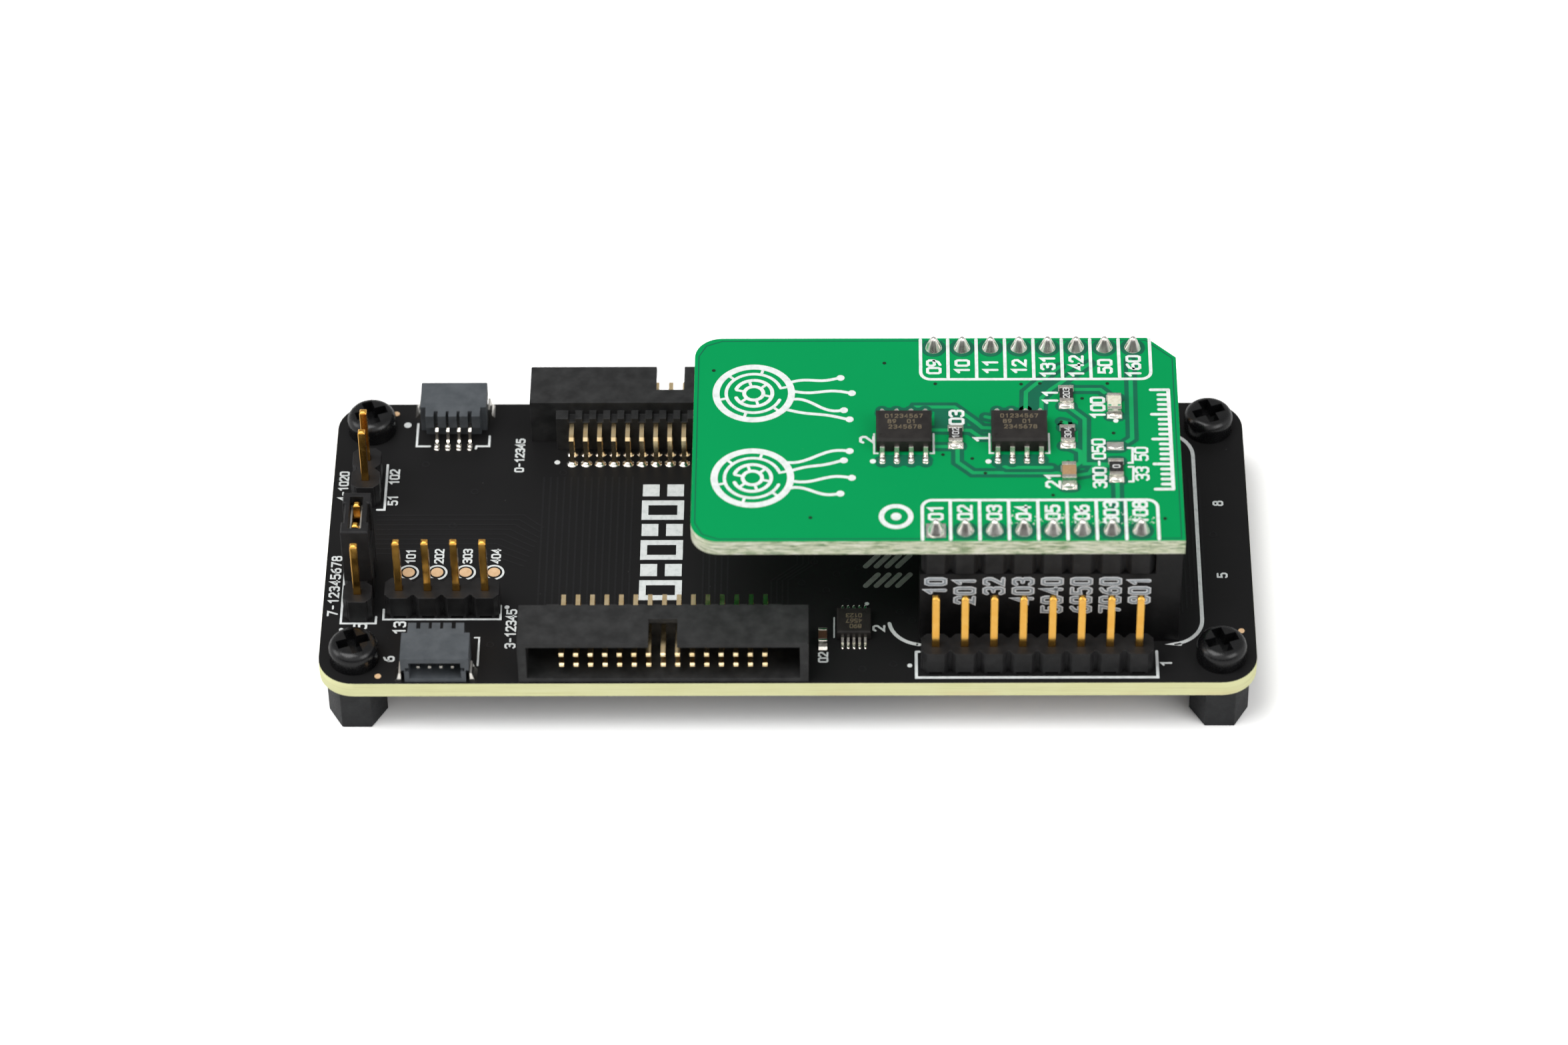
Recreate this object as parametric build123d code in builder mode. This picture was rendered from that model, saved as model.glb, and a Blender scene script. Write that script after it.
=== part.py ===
from build123d import *
import os

os.makedirs("parts", exist_ok=True)

# Microcontroller dev board: a carrier board on four standoffs with a plug-in
# add-on board.  Millimetres, +Z up.  The origin is the centre of the four
# mounting holes, at the height of the standoffs' feet.  The input header looks
# towards -Y, which is the front; the add-on board lies to the right, at +X.

SIDES = (-1, 1)
BASE = (Align.CENTER, Align.CENTER, Align.MIN)    # stands on its location
HUNG = (Align.CENTER, Align.CENTER, Align.MAX)    # hangs below its location

# ------------------------------------------------------- carrier and mounts
BOARD_L, BOARD_W, BOARD_T = 82.5, 35.0, 1.6
BOARD_R = 3.2
HOLE_DX, HOLE_DY, HOLE_R = 76.2, 28.6, 1.45
STANDOFF_H, STANDOFF_AF = 5.0, 4.55               # height, across flats
STANDOFF_BORE_R, STANDOFF_BORE_D = 1.25, 2.5      # open foot bore
STANDOFF_CORE_R = 1.05                            # upper bore, round the screw's core
SCREW_R, SCREW_CORE_R, SCREW_REACH = 1.24, 1.04, 2.4
SCREW_HEAD_R, SCREW_HEAD_H, SCREW_HEAD_ROUND = 2.2, 2.1, 0.85
RECESS_L, RECESS_W, RECESS_D = 2.9, 0.95, 1.2     # cross recess in the head
RECESS_TURN, RECESS_TAPER = 20, 6                 # degrees
TOP = STANDOFF_H + BOARD_T
MOUNTS = [(sx * HOLE_DX / 2, sy * HOLE_DY / 2) for sx in SIDES for sy in SIDES]

# ------------------------------------------------------ 2.54 mm pin headers
PITCH = 2.54
LEAD_PLAY = 0.02                                  # lead hole over lead, full width
PIN = 0.64
PIN_HOLE = PIN + LEAD_PLAY
PIN_TOP = 8.54                                    # above the board
PIN_TAIL = 1.2                                    # below the board
PIN_LOW = STANDOFF_H - PIN_TAIL
PIN_CHAMFER, ADDON_PIN_CHAMFER = 0.16, 0.1
STRIP_H = 2.54
NOTCH = 0.72                                      # side of the diamond between segments
SLIT_W, SLIT_L = 0.3, 0.9                         # slit through each notch
CHANNEL_W, CHANNEL_CUT = 1.1, 0.5                 # the cut is half sunk in the strip
LEAD_HOLE_R = 0.5
COLS = [13.0 + PITCH * i for i in range(8)]
PROBE_Y = 15.2
PROBE_FRONT = [(x, -PROBE_Y) for x in COLS]
PROBE_REAR = [(x, PROBE_Y) for x in COLS]
BREAKOUT = [(-34.35 + PITCH * i, -8.3) for i in range(4)]
SELECTOR = [(-38.0, -8.75 + PITCH * i) for i in range(3)]
POWER = [(-38.1, 5.46 + PITCH * i) for i in range(2)]

# --------------------------------------- 1.27 mm shrouded box headers, 2 x 15
FINE = 1.27
FINE_N = 15
BOX_X, BOX_L, BOX_H, BOX_D = -10.8, 25.4, 4.9, 4.7
BOX_FACE = 17.35                                  # mouth plane, from y = 0
BOX_END_WALL, BOX_SKIN, BOX_BACK = 0.75, 0.5, 0.8
BOX_KEY_W, BOX_KEY_D = 2.5, 3.0
BOX_COMB_D, BOX_COMB_H, BOX_COMB_EXTRA = 1.05, 3.9, 1.6
COMB_SLOT_W, COMB_SLOT_CUT = 0.62, 0.9
BOX_PIN, BOX_PIN_RECESS, BOX_PIN_TAIL = 0.4, 0.3, 0.9
BOX_TIP_L, BOX_TIP_IN, BOX_BEND = 0.15, 0.1, 0.25  # tip bevel, chamfer at the bend
BOX_PIN_HOLE = BOX_PIN + LEAD_PLAY
BOX_ROWS = [(1.8, 11.05), (3.07, 9.78)]           # pin height, tail row
FINE_HOLE_R = 0.33
FINE_COLS = [BOX_X + FINE * (i - FINE_N // 2) for i in range(FINE_N)]

# ------------------------------------------------- add-on sockets and board
SOCKET_Y0, SOCKET_DY, SOCKET_H = 0.2, 11.43, 8.5
SOCKET_X0, SOCKET_X1 = 11.6, 34.4
SOCKET_RISER_X, RISER_OVERLAP = 32.12, 0.5
SOCKET_CHAMFER = 2.2
CONTACT_CAVITY, CAVITY_ROOF = 1.3, 0.7
SOCKET_ENTRY = (0.84, 0.84, 2.0)                  # pin entry cutter, centred on the top
SEAT_GAP = 0.03
CROSSPIECE, CROSSPIECE_Z = (1.2, 0.8, 0.4), 0.05
BLADE_T, BLADE_W, BLADE_X, BLADE_Z = 0.16, 0.7, 0.44, 0.4
BLADE_SHORT = 1.4                                 # blade length below the socket's
FLAT_TAIL_L, FLAT_TAIL_W, FLAT_TAIL_RISE = 0.6, 0.4, 0.1
ADDON_X0, ADDON_L, ADDON_W, ADDON_T = -8.31, 42.9, 25.4, 1.6
ADDON_R, ADDON_CHAMFER = 2.4, 2.54
ADDON_PIN_REACH = 6.0                             # down into the sockets
ADDON_PIN_TIP = 0.5                               # above the add-on board
SOCKET_TOP = TOP + SOCKET_H
ADDON_Z = SOCKET_TOP + STRIP_H
ADDON_TOP = ADDON_Z + ADDON_T
SOCKET_ROWS = [SOCKET_Y0 - SOCKET_DY, SOCKET_Y0 + SOCKET_DY]
ADDON_PINS = [(x, y) for y in SOCKET_ROWS for x in COLS]

THROUGH_PINS = PROBE_FRONT + PROBE_REAR + BREAKOUT + SELECTOR + POWER
FINE_PINS = [(x, side * y) for side in SIDES for _, y in BOX_ROWS for x in FINE_COLS]


def finish(part, label):
    part.label = label
    export_step(part, "parts/" + label + ".step")


def raised(points, z):
    """Plan points lifted to height z."""
    return [(x, y, z) for x, y in points]


def placed(profile, across, up, side):
    """Profile moved to (across, up), and mirrored when side is -1."""
    return [(across + side * u, up + v) for u, v in profile]


def turned(along_x, length, width):
    """Length and width as x and y sizes."""
    return (length, width) if along_x else (width, length)


# ================================================================== carrier
with BuildPart() as base_pcb:
    with BuildSketch(Plane.XY.offset(STANDOFF_H)):
        RectangleRounded(BOARD_L, BOARD_W, BOARD_R)
        with Locations(*MOUNTS):
            Circle(HOLE_R, mode=Mode.SUBTRACT)
        with Locations(*(THROUGH_PINS + ADDON_PINS)):
            Circle(LEAD_HOLE_R, mode=Mode.SUBTRACT)
        with Locations(*FINE_PINS):
            Circle(FINE_HOLE_R, mode=Mode.SUBTRACT)
    extrude(amount=BOARD_T)
finish(base_pcb.part, "base_pcb")

with BuildPart() as standoffs:
    with BuildSketch():
        with Locations(*MOUNTS):
            RegularPolygon(STANDOFF_AF / 2, 6, major_radius=False)
            Circle(STANDOFF_CORE_R, mode=Mode.SUBTRACT)
    extrude(amount=STANDOFF_H)
    with Locations(*raised(MOUNTS, 0)):
        Cylinder(STANDOFF_BORE_R, STANDOFF_BORE_D, align=BASE, mode=Mode.SUBTRACT)
finish(standoffs.part, "standoffs")

with BuildPart() as screws:
    with Locations(*raised(MOUNTS, TOP)):
        Cylinder(SCREW_HEAD_R, SCREW_HEAD_H, align=BASE)
    fillet(screws.edges().group_by(Axis.Z)[-1], SCREW_HEAD_ROUND)
    with BuildSketch(Plane.XY.offset(TOP + SCREW_HEAD_H)):
        with Locations(*MOUNTS):
            Rectangle(RECESS_L, RECESS_W, rotation=RECESS_TURN)
            Rectangle(RECESS_W, RECESS_L, rotation=RECESS_TURN)
    extrude(amount=-RECESS_D, taper=RECESS_TAPER, mode=Mode.SUBTRACT)
    # thin core down into the standoff, full shank through the board
    with Locations(*raised(MOUNTS, STANDOFF_H - SCREW_REACH)):
        Cylinder(SCREW_CORE_R, SCREW_REACH + BOARD_T, align=BASE)
    with Locations(*raised(MOUNTS, STANDOFF_H)):
        Cylinder(SCREW_R, BOARD_T, align=BASE)
finish(screws.part, "screws")


# ----------------------------------------------------- shrouded box headers
def box_shroud(side):
    """Right-angle shroud whose mouth looks along side * Y."""
    with BuildPart() as shroud:
        with Locations((BOX_X, side * (BOX_FACE - BOX_D / 2), TOP)):
            Box(BOX_L, BOX_D, BOX_H, align=BASE)
        mouth = BOX_D - BOX_BACK
        with Locations((BOX_X, side * (BOX_FACE - mouth / 2), TOP + BOX_SKIN)):
            Box(
                BOX_L - 2 * BOX_END_WALL, mouth, BOX_H - 2 * BOX_SKIN,
                align=BASE, mode=Mode.SUBTRACT,
            )
        # key slot through the top skin
        with Locations((BOX_X, side * (BOX_FACE - BOX_KEY_D / 2), TOP + BOX_H)):
            Box(BOX_KEY_W, BOX_KEY_D, 2 * BOX_SKIN + 0.1, mode=Mode.SUBTRACT)
        # comb behind the back wall, slotted over each column of pins
        comb_y = side * (BOX_FACE - BOX_D - BOX_COMB_D / 2)
        with Locations((BOX_X, comb_y, TOP)):
            Box(FINE_N * FINE + BOX_COMB_EXTRA, BOX_COMB_D, BOX_COMB_H, align=BASE)
        with Locations(*[(x, comb_y, TOP + BOX_COMB_H) for x in FINE_COLS]):
            Box(COMB_SLOT_W, BOX_COMB_D, COMB_SLOT_CUT, mode=Mode.SUBTRACT)
        # pin holes through wall and comb
        back = BOX_BACK + BOX_COMB_D
        back_y = side * (BOX_FACE - BOX_D + BOX_BACK - back / 2)
        with Locations(*[(x, back_y, TOP + z) for z, _ in BOX_ROWS for x in FINE_COLS]):
            Box(BOX_PIN_HOLE, back, BOX_PIN_HOLE, mode=Mode.SUBTRACT)
    return shroud.part


def box_pin_profile(z, tail):
    """Side view of a pin at height z, bent down at y = tail; y, z above the board."""
    half = BOX_PIN / 2
    tip = BOX_FACE - BOX_PIN_RECESS
    low = -BOARD_T - BOX_PIN_TAIL
    return [
        (tip, z - half + BOX_TIP_IN), (tip, z + half - BOX_TIP_IN),
        (tip - BOX_TIP_L, z + half), (tail - half + BOX_BEND, z + half),
        (tail - half, z + half - BOX_BEND), (tail - half, low),
        (tail + half, low), (tail + half, z - half), (tip - BOX_TIP_L, z - half),
    ]


def box_pins(side):
    """Two rows of right-angle pins, bent down through the board."""
    with BuildPart() as pins:
        for z, tail in BOX_ROWS:
            profile = placed(box_pin_profile(z, tail), 0, TOP, side)
            for x in FINE_COLS:
                with BuildSketch(Plane.YZ.offset(x - BOX_PIN / 2)):
                    with BuildLine():
                        Polyline(*profile, close=True)
                    make_face()
                extrude(amount=BOX_PIN)
    return pins.part


for name, side in (("input_header", -1), ("output_header", 1)):
    finish(box_shroud(side), name + "_shroud")
    finish(box_pins(side), name + "_pins")


# ------------------------------------------------------- plain pin headers
def strip_sketch(points, along_x, plane):
    """Plan of a breakaway pin strip: one octagonal segment per pin."""
    first_x, first_y = points[0]
    last_x, last_y = points[-1]
    count = len(points)
    notches = []
    for i in range(count + 1):
        for side in SIDES:
            dx, dy = turned(along_x, PITCH * (i - 0.5), side * PITCH / 2)
            notches.append((first_x + dx, first_y + dy))
    with BuildSketch(plane) as plan:
        with Locations(((first_x + last_x) / 2, (first_y + last_y) / 2)):
            Rectangle(*turned(along_x, count * PITCH, PITCH))
        with Locations(*notches):
            Rectangle(NOTCH, NOTCH, rotation=45, mode=Mode.SUBTRACT)
            Rectangle(*turned(along_x, SLIT_W, SLIT_L), mode=Mode.SUBTRACT)
        with Locations(*points):
            Rectangle(PIN_HOLE, PIN_HOLE, mode=Mode.SUBTRACT)
    return plan.sketch


def strip_body(points, along_x):
    with BuildPart() as body:
        add(strip_sketch(points, along_x, Plane.XY.offset(TOP)))
        extrude(amount=STRIP_H)
        # a shallow channel across the underside at each pin leaves moulded feet
        for x, y in points:
            with Locations((x, y, TOP)):
                Box(*turned(along_x, CHANNEL_W, PITCH), CHANNEL_CUT, mode=Mode.SUBTRACT)
    return body.part


def straight_pins(points, z_low, z_high, tip):
    """Square pins, chamfered by tip at their upper ends."""
    with BuildPart() as pins:
        with Locations(*raised(points, z_low)):
            Box(PIN, PIN, z_high - z_low, align=BASE)
        chamfer(pins.edges().group_by(Axis.Z)[-1], tip)
    return pins.part


for name, points, along_x in (
    ("probe_header_front", PROBE_FRONT, True),
    ("probe_header_rear", PROBE_REAR, True),
    ("breakout_header", BREAKOUT, True),
    ("power_selector", SELECTOR, False),
    ("power_ext_header", POWER, False),
):
    finish(strip_body(points, along_x), name + "_base")
    finish(straight_pins(points, PIN_LOW, TOP + PIN_TOP, PIN_CHAMFER), name + "_pins")


# ----------------------------------------------------------- add-on sockets
def socket_housing(y, chamfered):
    with BuildPart() as housing:
        with Locations(((SOCKET_X0 + SOCKET_X1) / 2, y, TOP)):
            Box(SOCKET_X1 - SOCKET_X0, PITCH, SOCKET_H, align=BASE)
        # raised end block that shows which way round the add-on goes
        with Locations(((SOCKET_RISER_X + SOCKET_X1) / 2, y, SOCKET_TOP - RISER_OVERLAP)):
            Box(
                SOCKET_X1 - SOCKET_RISER_X, PITCH, STRIP_H + RISER_OVERLAP - SEAT_GAP,
                align=BASE,
            )
        if chamfered:
            uprights = housing.edges().filter_by(Axis.Z)
            corner = uprights.sort_by(lambda e: e.center().X + e.center().Y)[-1]
            chamfer(corner, SOCKET_CHAMFER)
        with Locations(*[(x, y, TOP) for x in COLS]):
            Box(
                CONTACT_CAVITY, CONTACT_CAVITY, SOCKET_H - CAVITY_ROOF,
                align=BASE, mode=Mode.SUBTRACT,
            )
        with Locations(*[(x, y, SOCKET_TOP) for x in COLS]):
            Box(*SOCKET_ENTRY, mode=Mode.SUBTRACT)
    return housing.part


def socket_contacts(y):
    """Two spring blades on a crosspiece, with a flat tail through the board."""
    with BuildPart() as contacts:
        with Locations(*[(x, y, TOP + CROSSPIECE_Z) for x in COLS]):
            Box(*CROSSPIECE, align=BASE)
        with Locations(*[(x + s * BLADE_X, y, TOP + BLADE_Z) for x in COLS for s in SIDES]):
            Box(BLADE_T, BLADE_W, SOCKET_H - BLADE_SHORT, align=BASE)
        with Locations(*[(x, y, PIN_LOW) for x in COLS]):
            Box(FLAT_TAIL_L, FLAT_TAIL_W, TOP + FLAT_TAIL_RISE - PIN_LOW, align=BASE)
    return contacts.part


for name, row, chamfered in zip(("socket_front", "socket_rear"), SOCKET_ROWS, (False, True)):
    finish(socket_housing(row, chamfered), name + "_housing")
    finish(socket_contacts(row), name + "_contacts")

# ----------------------------------------------- 4-way 1.0 mm bus connectors
BUS_L, BUS_D, BUS_H = 6.0, 3.2, 2.95
BUS_FACE = 17.3                                   # mouth plane, from y = 0
BUS_WAYS = [-1.5, -0.5, 0.5, 1.5]
BUS_STEP_L, BUS_STEP_D = 5.0, 0.5                 # narrower step behind the body
BUS_TEETH = [-2.1, -1.0, 0.0, 1.0, 2.1]
BUS_TOOTH_W, BUS_TOOTH_D, BUS_TOOTH_Z = 0.74, 0.7, 1.5
BUS_CAVITY, BUS_CAVITY_Z = (4.55, 2.9, 1.95), 0.45
BUS_KEYWAY, BUS_KEYWAY_Z = (5.2, 1.2, 0.45), 1.35
BUS_NICK, BUS_NICK_X = (0.32, 1.1, 1.5), 2.85     # low cut in each end of the mouth
BUS_SLOT, BUS_SLOT_IN, BUS_SLOT_Z = (0.3, 0.82, 0.34), 3.3, 1.0
BUS_LEAD_W = 0.25
# side view of a lead: y outwards from y = 0, z above the board
BUS_LEAD = [
    (16.6, 1.02), (16.6, 1.3), (13.1, 1.3), (12.75, 1.15), (12.5, 0.32), (12.3, 0.22),
    (11.9, 0.22), (11.9, 0.02), (12.4, 0.02), (12.72, 0.2), (12.98, 0.95), (13.15, 1.02),
]
# end view of a solder tab: x outwards from the connector's centre, z above the board
BUS_TAB = [(3.02, 0.0), (3.62, 0.0), (3.36, 0.35), (3.2, 1.05), (3.02, 1.05)]
BUS_TAB_IN, BUS_TAB_L = 0.1, 1.5                  # set back from the face, length


def bus_housing(centre_x, side):
    def spots(offsets, inward, z):
        """Places at x offsets from the centre, inward from the mouth plane."""
        return [(centre_x + x, side * (BUS_FACE - inward), TOP + z) for x in offsets]

    with BuildPart() as housing:
        with Locations(*spots([0], BUS_D / 2, 0)):
            Box(BUS_L, BUS_D, BUS_H, align=BASE)
        with Locations(*spots([0], BUS_D + BUS_STEP_D / 2, 0)):
            Box(BUS_STEP_L, BUS_STEP_D, BUS_H, align=BASE)
        # castellated rear lip, one gap over each lead
        lip_in = BUS_D + BUS_STEP_D + BUS_TOOTH_D / 2
        with Locations(*spots(BUS_TEETH, lip_in, BUS_TOOTH_Z)):
            Box(BUS_TOOTH_W, BUS_TOOTH_D, BUS_H - BUS_TOOTH_Z, align=BASE)
        # plug cavity, its side keyways and the lead slots in the back wall
        with Locations(*spots([0], BUS_CAVITY[1] / 2, BUS_CAVITY_Z)):
            Box(*BUS_CAVITY, align=BASE, mode=Mode.SUBTRACT)
        with Locations(*spots([0], BUS_KEYWAY[1] / 2, BUS_KEYWAY_Z)):
            Box(*BUS_KEYWAY, align=BASE, mode=Mode.SUBTRACT)
        with Locations(*spots([-BUS_NICK_X, BUS_NICK_X], BUS_NICK[1] / 2, 0)):
            Box(*BUS_NICK, align=BASE, mode=Mode.SUBTRACT)
        with Locations(*spots(BUS_WAYS, BUS_SLOT_IN, BUS_SLOT_Z)):
            Box(*BUS_SLOT, align=BASE, mode=Mode.SUBTRACT)
    return housing.part


def bus_contacts(centre_x, side):
    with BuildPart() as contacts:
        for x in BUS_WAYS:
            with BuildSketch(Plane.YZ.offset(centre_x + x - BUS_LEAD_W / 2)):
                with BuildLine():
                    Polyline(*placed(BUS_LEAD, 0, TOP, side), close=True)
                make_face()
            extrude(amount=BUS_LEAD_W)
    return contacts.part


def bus_tabs(centre_x, side):
    """Side solder tabs with their solder wedges."""
    outer = BUS_FACE - BUS_TAB_IN
    # Plane.XZ faces -Y, so the tabs grow from their rearmost end
    rear_y = max(side * outer, side * (outer - BUS_TAB_L))
    with BuildPart() as tabs:
        for end in SIDES:
            with BuildSketch(Plane.XZ.offset(-rear_y)):
                with BuildLine():
                    Polyline(*placed(BUS_TAB, centre_x, TOP, end), close=True)
                make_face()
            extrude(amount=BUS_TAB_L)
    return tabs.part


for name, centre_x, side in (("front_bus_socket", -30.8, -1), ("rear_bus_socket", -30.6, 1)):
    finish(bus_housing(centre_x, side), name + "_housing")
    finish(bus_contacts(centre_x, side), name + "_contacts")
    finish(bus_tabs(centre_x, side), name + "_tabs")


# ---------------------------------------------------------------- chips
LEAD_LIFT = 0.02                                  # gull-wing feet above the board
DOT_CUT = 0.1                                     # half of it is sunk in the chip


def gull_leads(centre, offsets, half, reach, rise, width, thick):
    """Gull-wing leads on both Y sides of a chip, from y = half out to y = reach."""
    centre_x, centre_y, board_z = centre
    knee = half + 0.28 * (reach - half)
    toe = half + 0.5 * (reach - half)
    profile = [
        (half, rise), (knee, rise), (toe, thick + LEAD_LIFT), (reach, thick + LEAD_LIFT),
        (reach, LEAD_LIFT), (toe - thick, LEAD_LIFT), (knee - thick * 0.6, rise - thick),
        (half, rise - thick),
    ]
    with BuildPart() as leads:
        for x in offsets:
            for side in SIDES:
                with BuildSketch(Plane.YZ.offset(centre_x + x - width / 2)):
                    with BuildLine():
                        Polyline(*placed(profile, centre_y, board_z, side), close=True)
                    make_face()
                extrude(amount=width)
    return leads.part


def chip_body(places, length, width, height, gap, edge, dot_r, dot_at):
    """Bodies lifted by gap, with chamfered top edges and a round dot."""
    with BuildPart() as body:
        with Locations(*[(x, y, z + gap) for x, y, z in places]):
            Box(length, width, height, align=BASE)
        chamfer(body.edges().group_by(Axis.Z)[-1], edge)
        dot_x, dot_y = dot_at
        with Locations(*[(x + dot_x, y + dot_y, z + gap + height) for x, y, z in places]):
            Cylinder(dot_r, DOT_CUT, mode=Mode.SUBTRACT)
    return body.part


SHIFTER = (5.85, -10.8, TOP)
finish(
    chip_body(
        [SHIFTER], length=3.0, width=3.0, height=0.95,
        gap=0.1, edge=0.12, dot_r=0.2, dot_at=(0.95, 0.95),
    ),
    "level_shifter_body",
)
finish(
    gull_leads(
        SHIFTER, [-1.0, -0.5, 0.0, 0.5, 1.0],
        half=1.5, reach=2.45, rise=0.62, width=0.22, thick=0.15,
    ),
    "level_shifter_leads",
)

CHIPS = [(10.28, 0.39, ADDON_TOP), (20.43, 0.39, ADDON_TOP)]
finish(
    chip_body(
        CHIPS, length=4.9, width=3.9, height=1.4,
        gap=0.12, edge=0.2, dot_r=0.28, dot_at=(-1.85, -1.35),
    ),
    "memory_chip_bodies",
)
with BuildPart() as chip_leads:
    for chip in CHIPS:
        add(gull_leads(
            chip, [-1.905, -0.635, 0.635, 1.905],
            half=1.95, reach=3.05, rise=0.95, width=0.42, thick=0.2,
        ))
finish(chip_leads.part, "memory_chip_leads")

# ------------------------------ small two-terminal parts, long side in Y
BODY_LIFT = 0.04
CAP_OVER = 0.06                                   # cap height over the body's
CAP_WIDER = 0.04                                  # cap width over the body's
RESISTORS = [(14.84, 0.31), (24.69, 5.3), (24.7, 0.33), (28.85, -3.9)]
# name, body word, places, board height, x size, y size, body height, cap length
TWO_TERMINAL = [
    ("decoupling_cap", "_body", [(3.1, -12.35)], TOP, 0.8, 1.6, 0.75, 0.3),
    ("resistor", "_bodies", RESISTORS, ADDON_TOP, 1.25, 2.0, 0.5, 0.38),
    ("addon_cap", "_body", [(24.7, -4.77)], ADDON_TOP, 1.25, 2.0, 1.0, 0.42),
    ("power_led", "_body", [(28.9, 4.04)], ADDON_TOP, 1.25, 2.0, 0.75, 0.32),
]


def terminal_bodies(places, z, width, length, height, cap):
    with BuildPart() as body:
        with Locations(*raised(places, z + BODY_LIFT)):
            Box(width - CAP_WIDER, length - 2 * cap, height, align=BASE)
    return body.part


def terminal_caps(places, z, width, length, height, cap):
    """End caps, each with a solder slope running outwards."""
    end = length / 2
    profile = [
        (end - cap, 0.0), (end - cap, height + CAP_OVER), (end, height + CAP_OVER),
        (end, 0.62 * height), (end + 0.14, 0.25 * height), (end + 0.42, 0.0),
    ]
    with BuildPart() as caps:
        for x, y in places:
            for side in SIDES:
                with BuildSketch(Plane.YZ.offset(x - width / 2)):
                    with BuildLine():
                        Polyline(*placed(profile, y, z, side), close=True)
                    make_face()
                extrude(amount=width)
    return caps.part


for name, body_word, *sizes in TWO_TERMINAL:
    finish(terminal_bodies(*sizes), name + body_word)
    finish(terminal_caps(*sizes), name + "_terminals")

# ------------------------------------------------ copper on the carrier
TEST_PADS, TEST_PAD_R = [(x + 0.5, -3.95) for x, _ in BREAKOUT], 0.55
FIDUCIALS, FIDUCIAL_R = [(-35.9, -16.6), (40.0, -11.3), (-36.0, 16.2)], 0.28
COPPER_T = 0.05


def copper_discs(places, radius):
    with BuildPart() as discs:
        with BuildSketch(Plane.XY.offset(TOP)):
            with Locations(*places):
                Circle(radius)
        extrude(amount=COPPER_T)
    return discs.part


finish(copper_discs(TEST_PADS, TEST_PAD_R), "test_pads")
finish(copper_discs(FIDUCIALS, FIDUCIAL_R), "fiducials")

# ------------- solder cones under the carrier, round every through lead
CONE = (0.5, 0.85, 0.8)                           # lower radius, upper radius, height
FINE_CONE = (0.34, 0.52, 0.55)
CONE_CUT_IN, CONE_CUT_H = 0.4, 1.2                # lead cutter: centre depth, height
FINE_CUT_IN, FINE_CUT_H = 0.3, 1.0

with BuildPart() as carrier_solder:
    with Locations(*raised(THROUGH_PINS + ADDON_PINS, STANDOFF_H)):
        Cone(*CONE, align=HUNG)
    with Locations(*raised(THROUGH_PINS, STANDOFF_H - CONE_CUT_IN)):
        Box(PIN_HOLE, PIN_HOLE, CONE_CUT_H, mode=Mode.SUBTRACT)
    with Locations(*raised(ADDON_PINS, STANDOFF_H - CONE_CUT_IN)):
        Box(
            FLAT_TAIL_L + LEAD_PLAY, FLAT_TAIL_W + LEAD_PLAY, CONE_CUT_H,
            mode=Mode.SUBTRACT,
        )
    with Locations(*raised(FINE_PINS, STANDOFF_H)):
        Cone(*FINE_CONE, align=HUNG)
    with Locations(*raised(FINE_PINS, STANDOFF_H - FINE_CUT_IN)):
        Box(BOX_PIN_HOLE, BOX_PIN_HOLE, FINE_CUT_H, mode=Mode.SUBTRACT)
finish(carrier_solder.part, "carrier_solder_joints")

# =============================================================== jumper cap
CAP_W, CAP_D, CAP_LOW, CAP_HIGH = 2.45, 5.0, 2.58, 8.7
CAP_PINS = SELECTOR[1:]
CAP_X, CAP_Y = SELECTOR[1][0], (SELECTOR[1][1] + SELECTOR[2][1]) / 2
CAP_EDGE = 0.12
GRIP = (0.44, 2.3, 7.0)                           # cutter centred on the top edge
WELL, WELL_FLOOR = (1.14, 3.9, 6.0), 0.8
CAP_PIN_HOLE = (0.8, 0.8, 3.0)                    # cutter centred on the underside
CLIP_SIDE, CLIP_SIDE_X, CLIP_SIDE_Z = (0.16, 3.6, 4.2), 0.44, 1.0
CLIP_BRIDGE, CLIP_BRIDGE_Z = (1.0, 0.8, 2.6), 1.4

with BuildPart() as jumper_housing:
    with Locations((CAP_X, CAP_Y, TOP + CAP_LOW)):
        Box(CAP_W, CAP_D, CAP_HIGH - CAP_LOW, align=BASE)
    # grip recesses on both flanks
    with Locations(*[(CAP_X + s * CAP_W / 2, CAP_Y, TOP + CAP_HIGH) for s in SIDES]):
        Box(*GRIP, mode=Mode.SUBTRACT)
    # clip well, open at the top, with two pin holes in its floor
    with Locations((CAP_X, CAP_Y, TOP + CAP_LOW + WELL_FLOOR)):
        Box(*WELL, align=BASE, mode=Mode.SUBTRACT)
    with Locations(*raised(CAP_PINS, TOP + CAP_LOW)):
        Box(*CAP_PIN_HOLE, mode=Mode.SUBTRACT)
    chamfer(jumper_housing.faces().sort_by(Axis.Z)[-1].outer_wire().edges(), CAP_EDGE)
finish(jumper_housing.part, "jumper_cap_housing")

with BuildPart() as jumper_clip:
    side_z = TOP + CAP_LOW + CLIP_SIDE_Z
    with Locations(*[(CAP_X + s * CLIP_SIDE_X, CAP_Y, side_z) for s in SIDES]):
        Box(*CLIP_SIDE, align=BASE)
    with Locations((CAP_X, CAP_Y, TOP + CAP_LOW + CLIP_BRIDGE_Z)):
        Box(*CLIP_BRIDGE, align=BASE)
finish(jumper_clip.part, "jumper_cap_clip")

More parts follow.
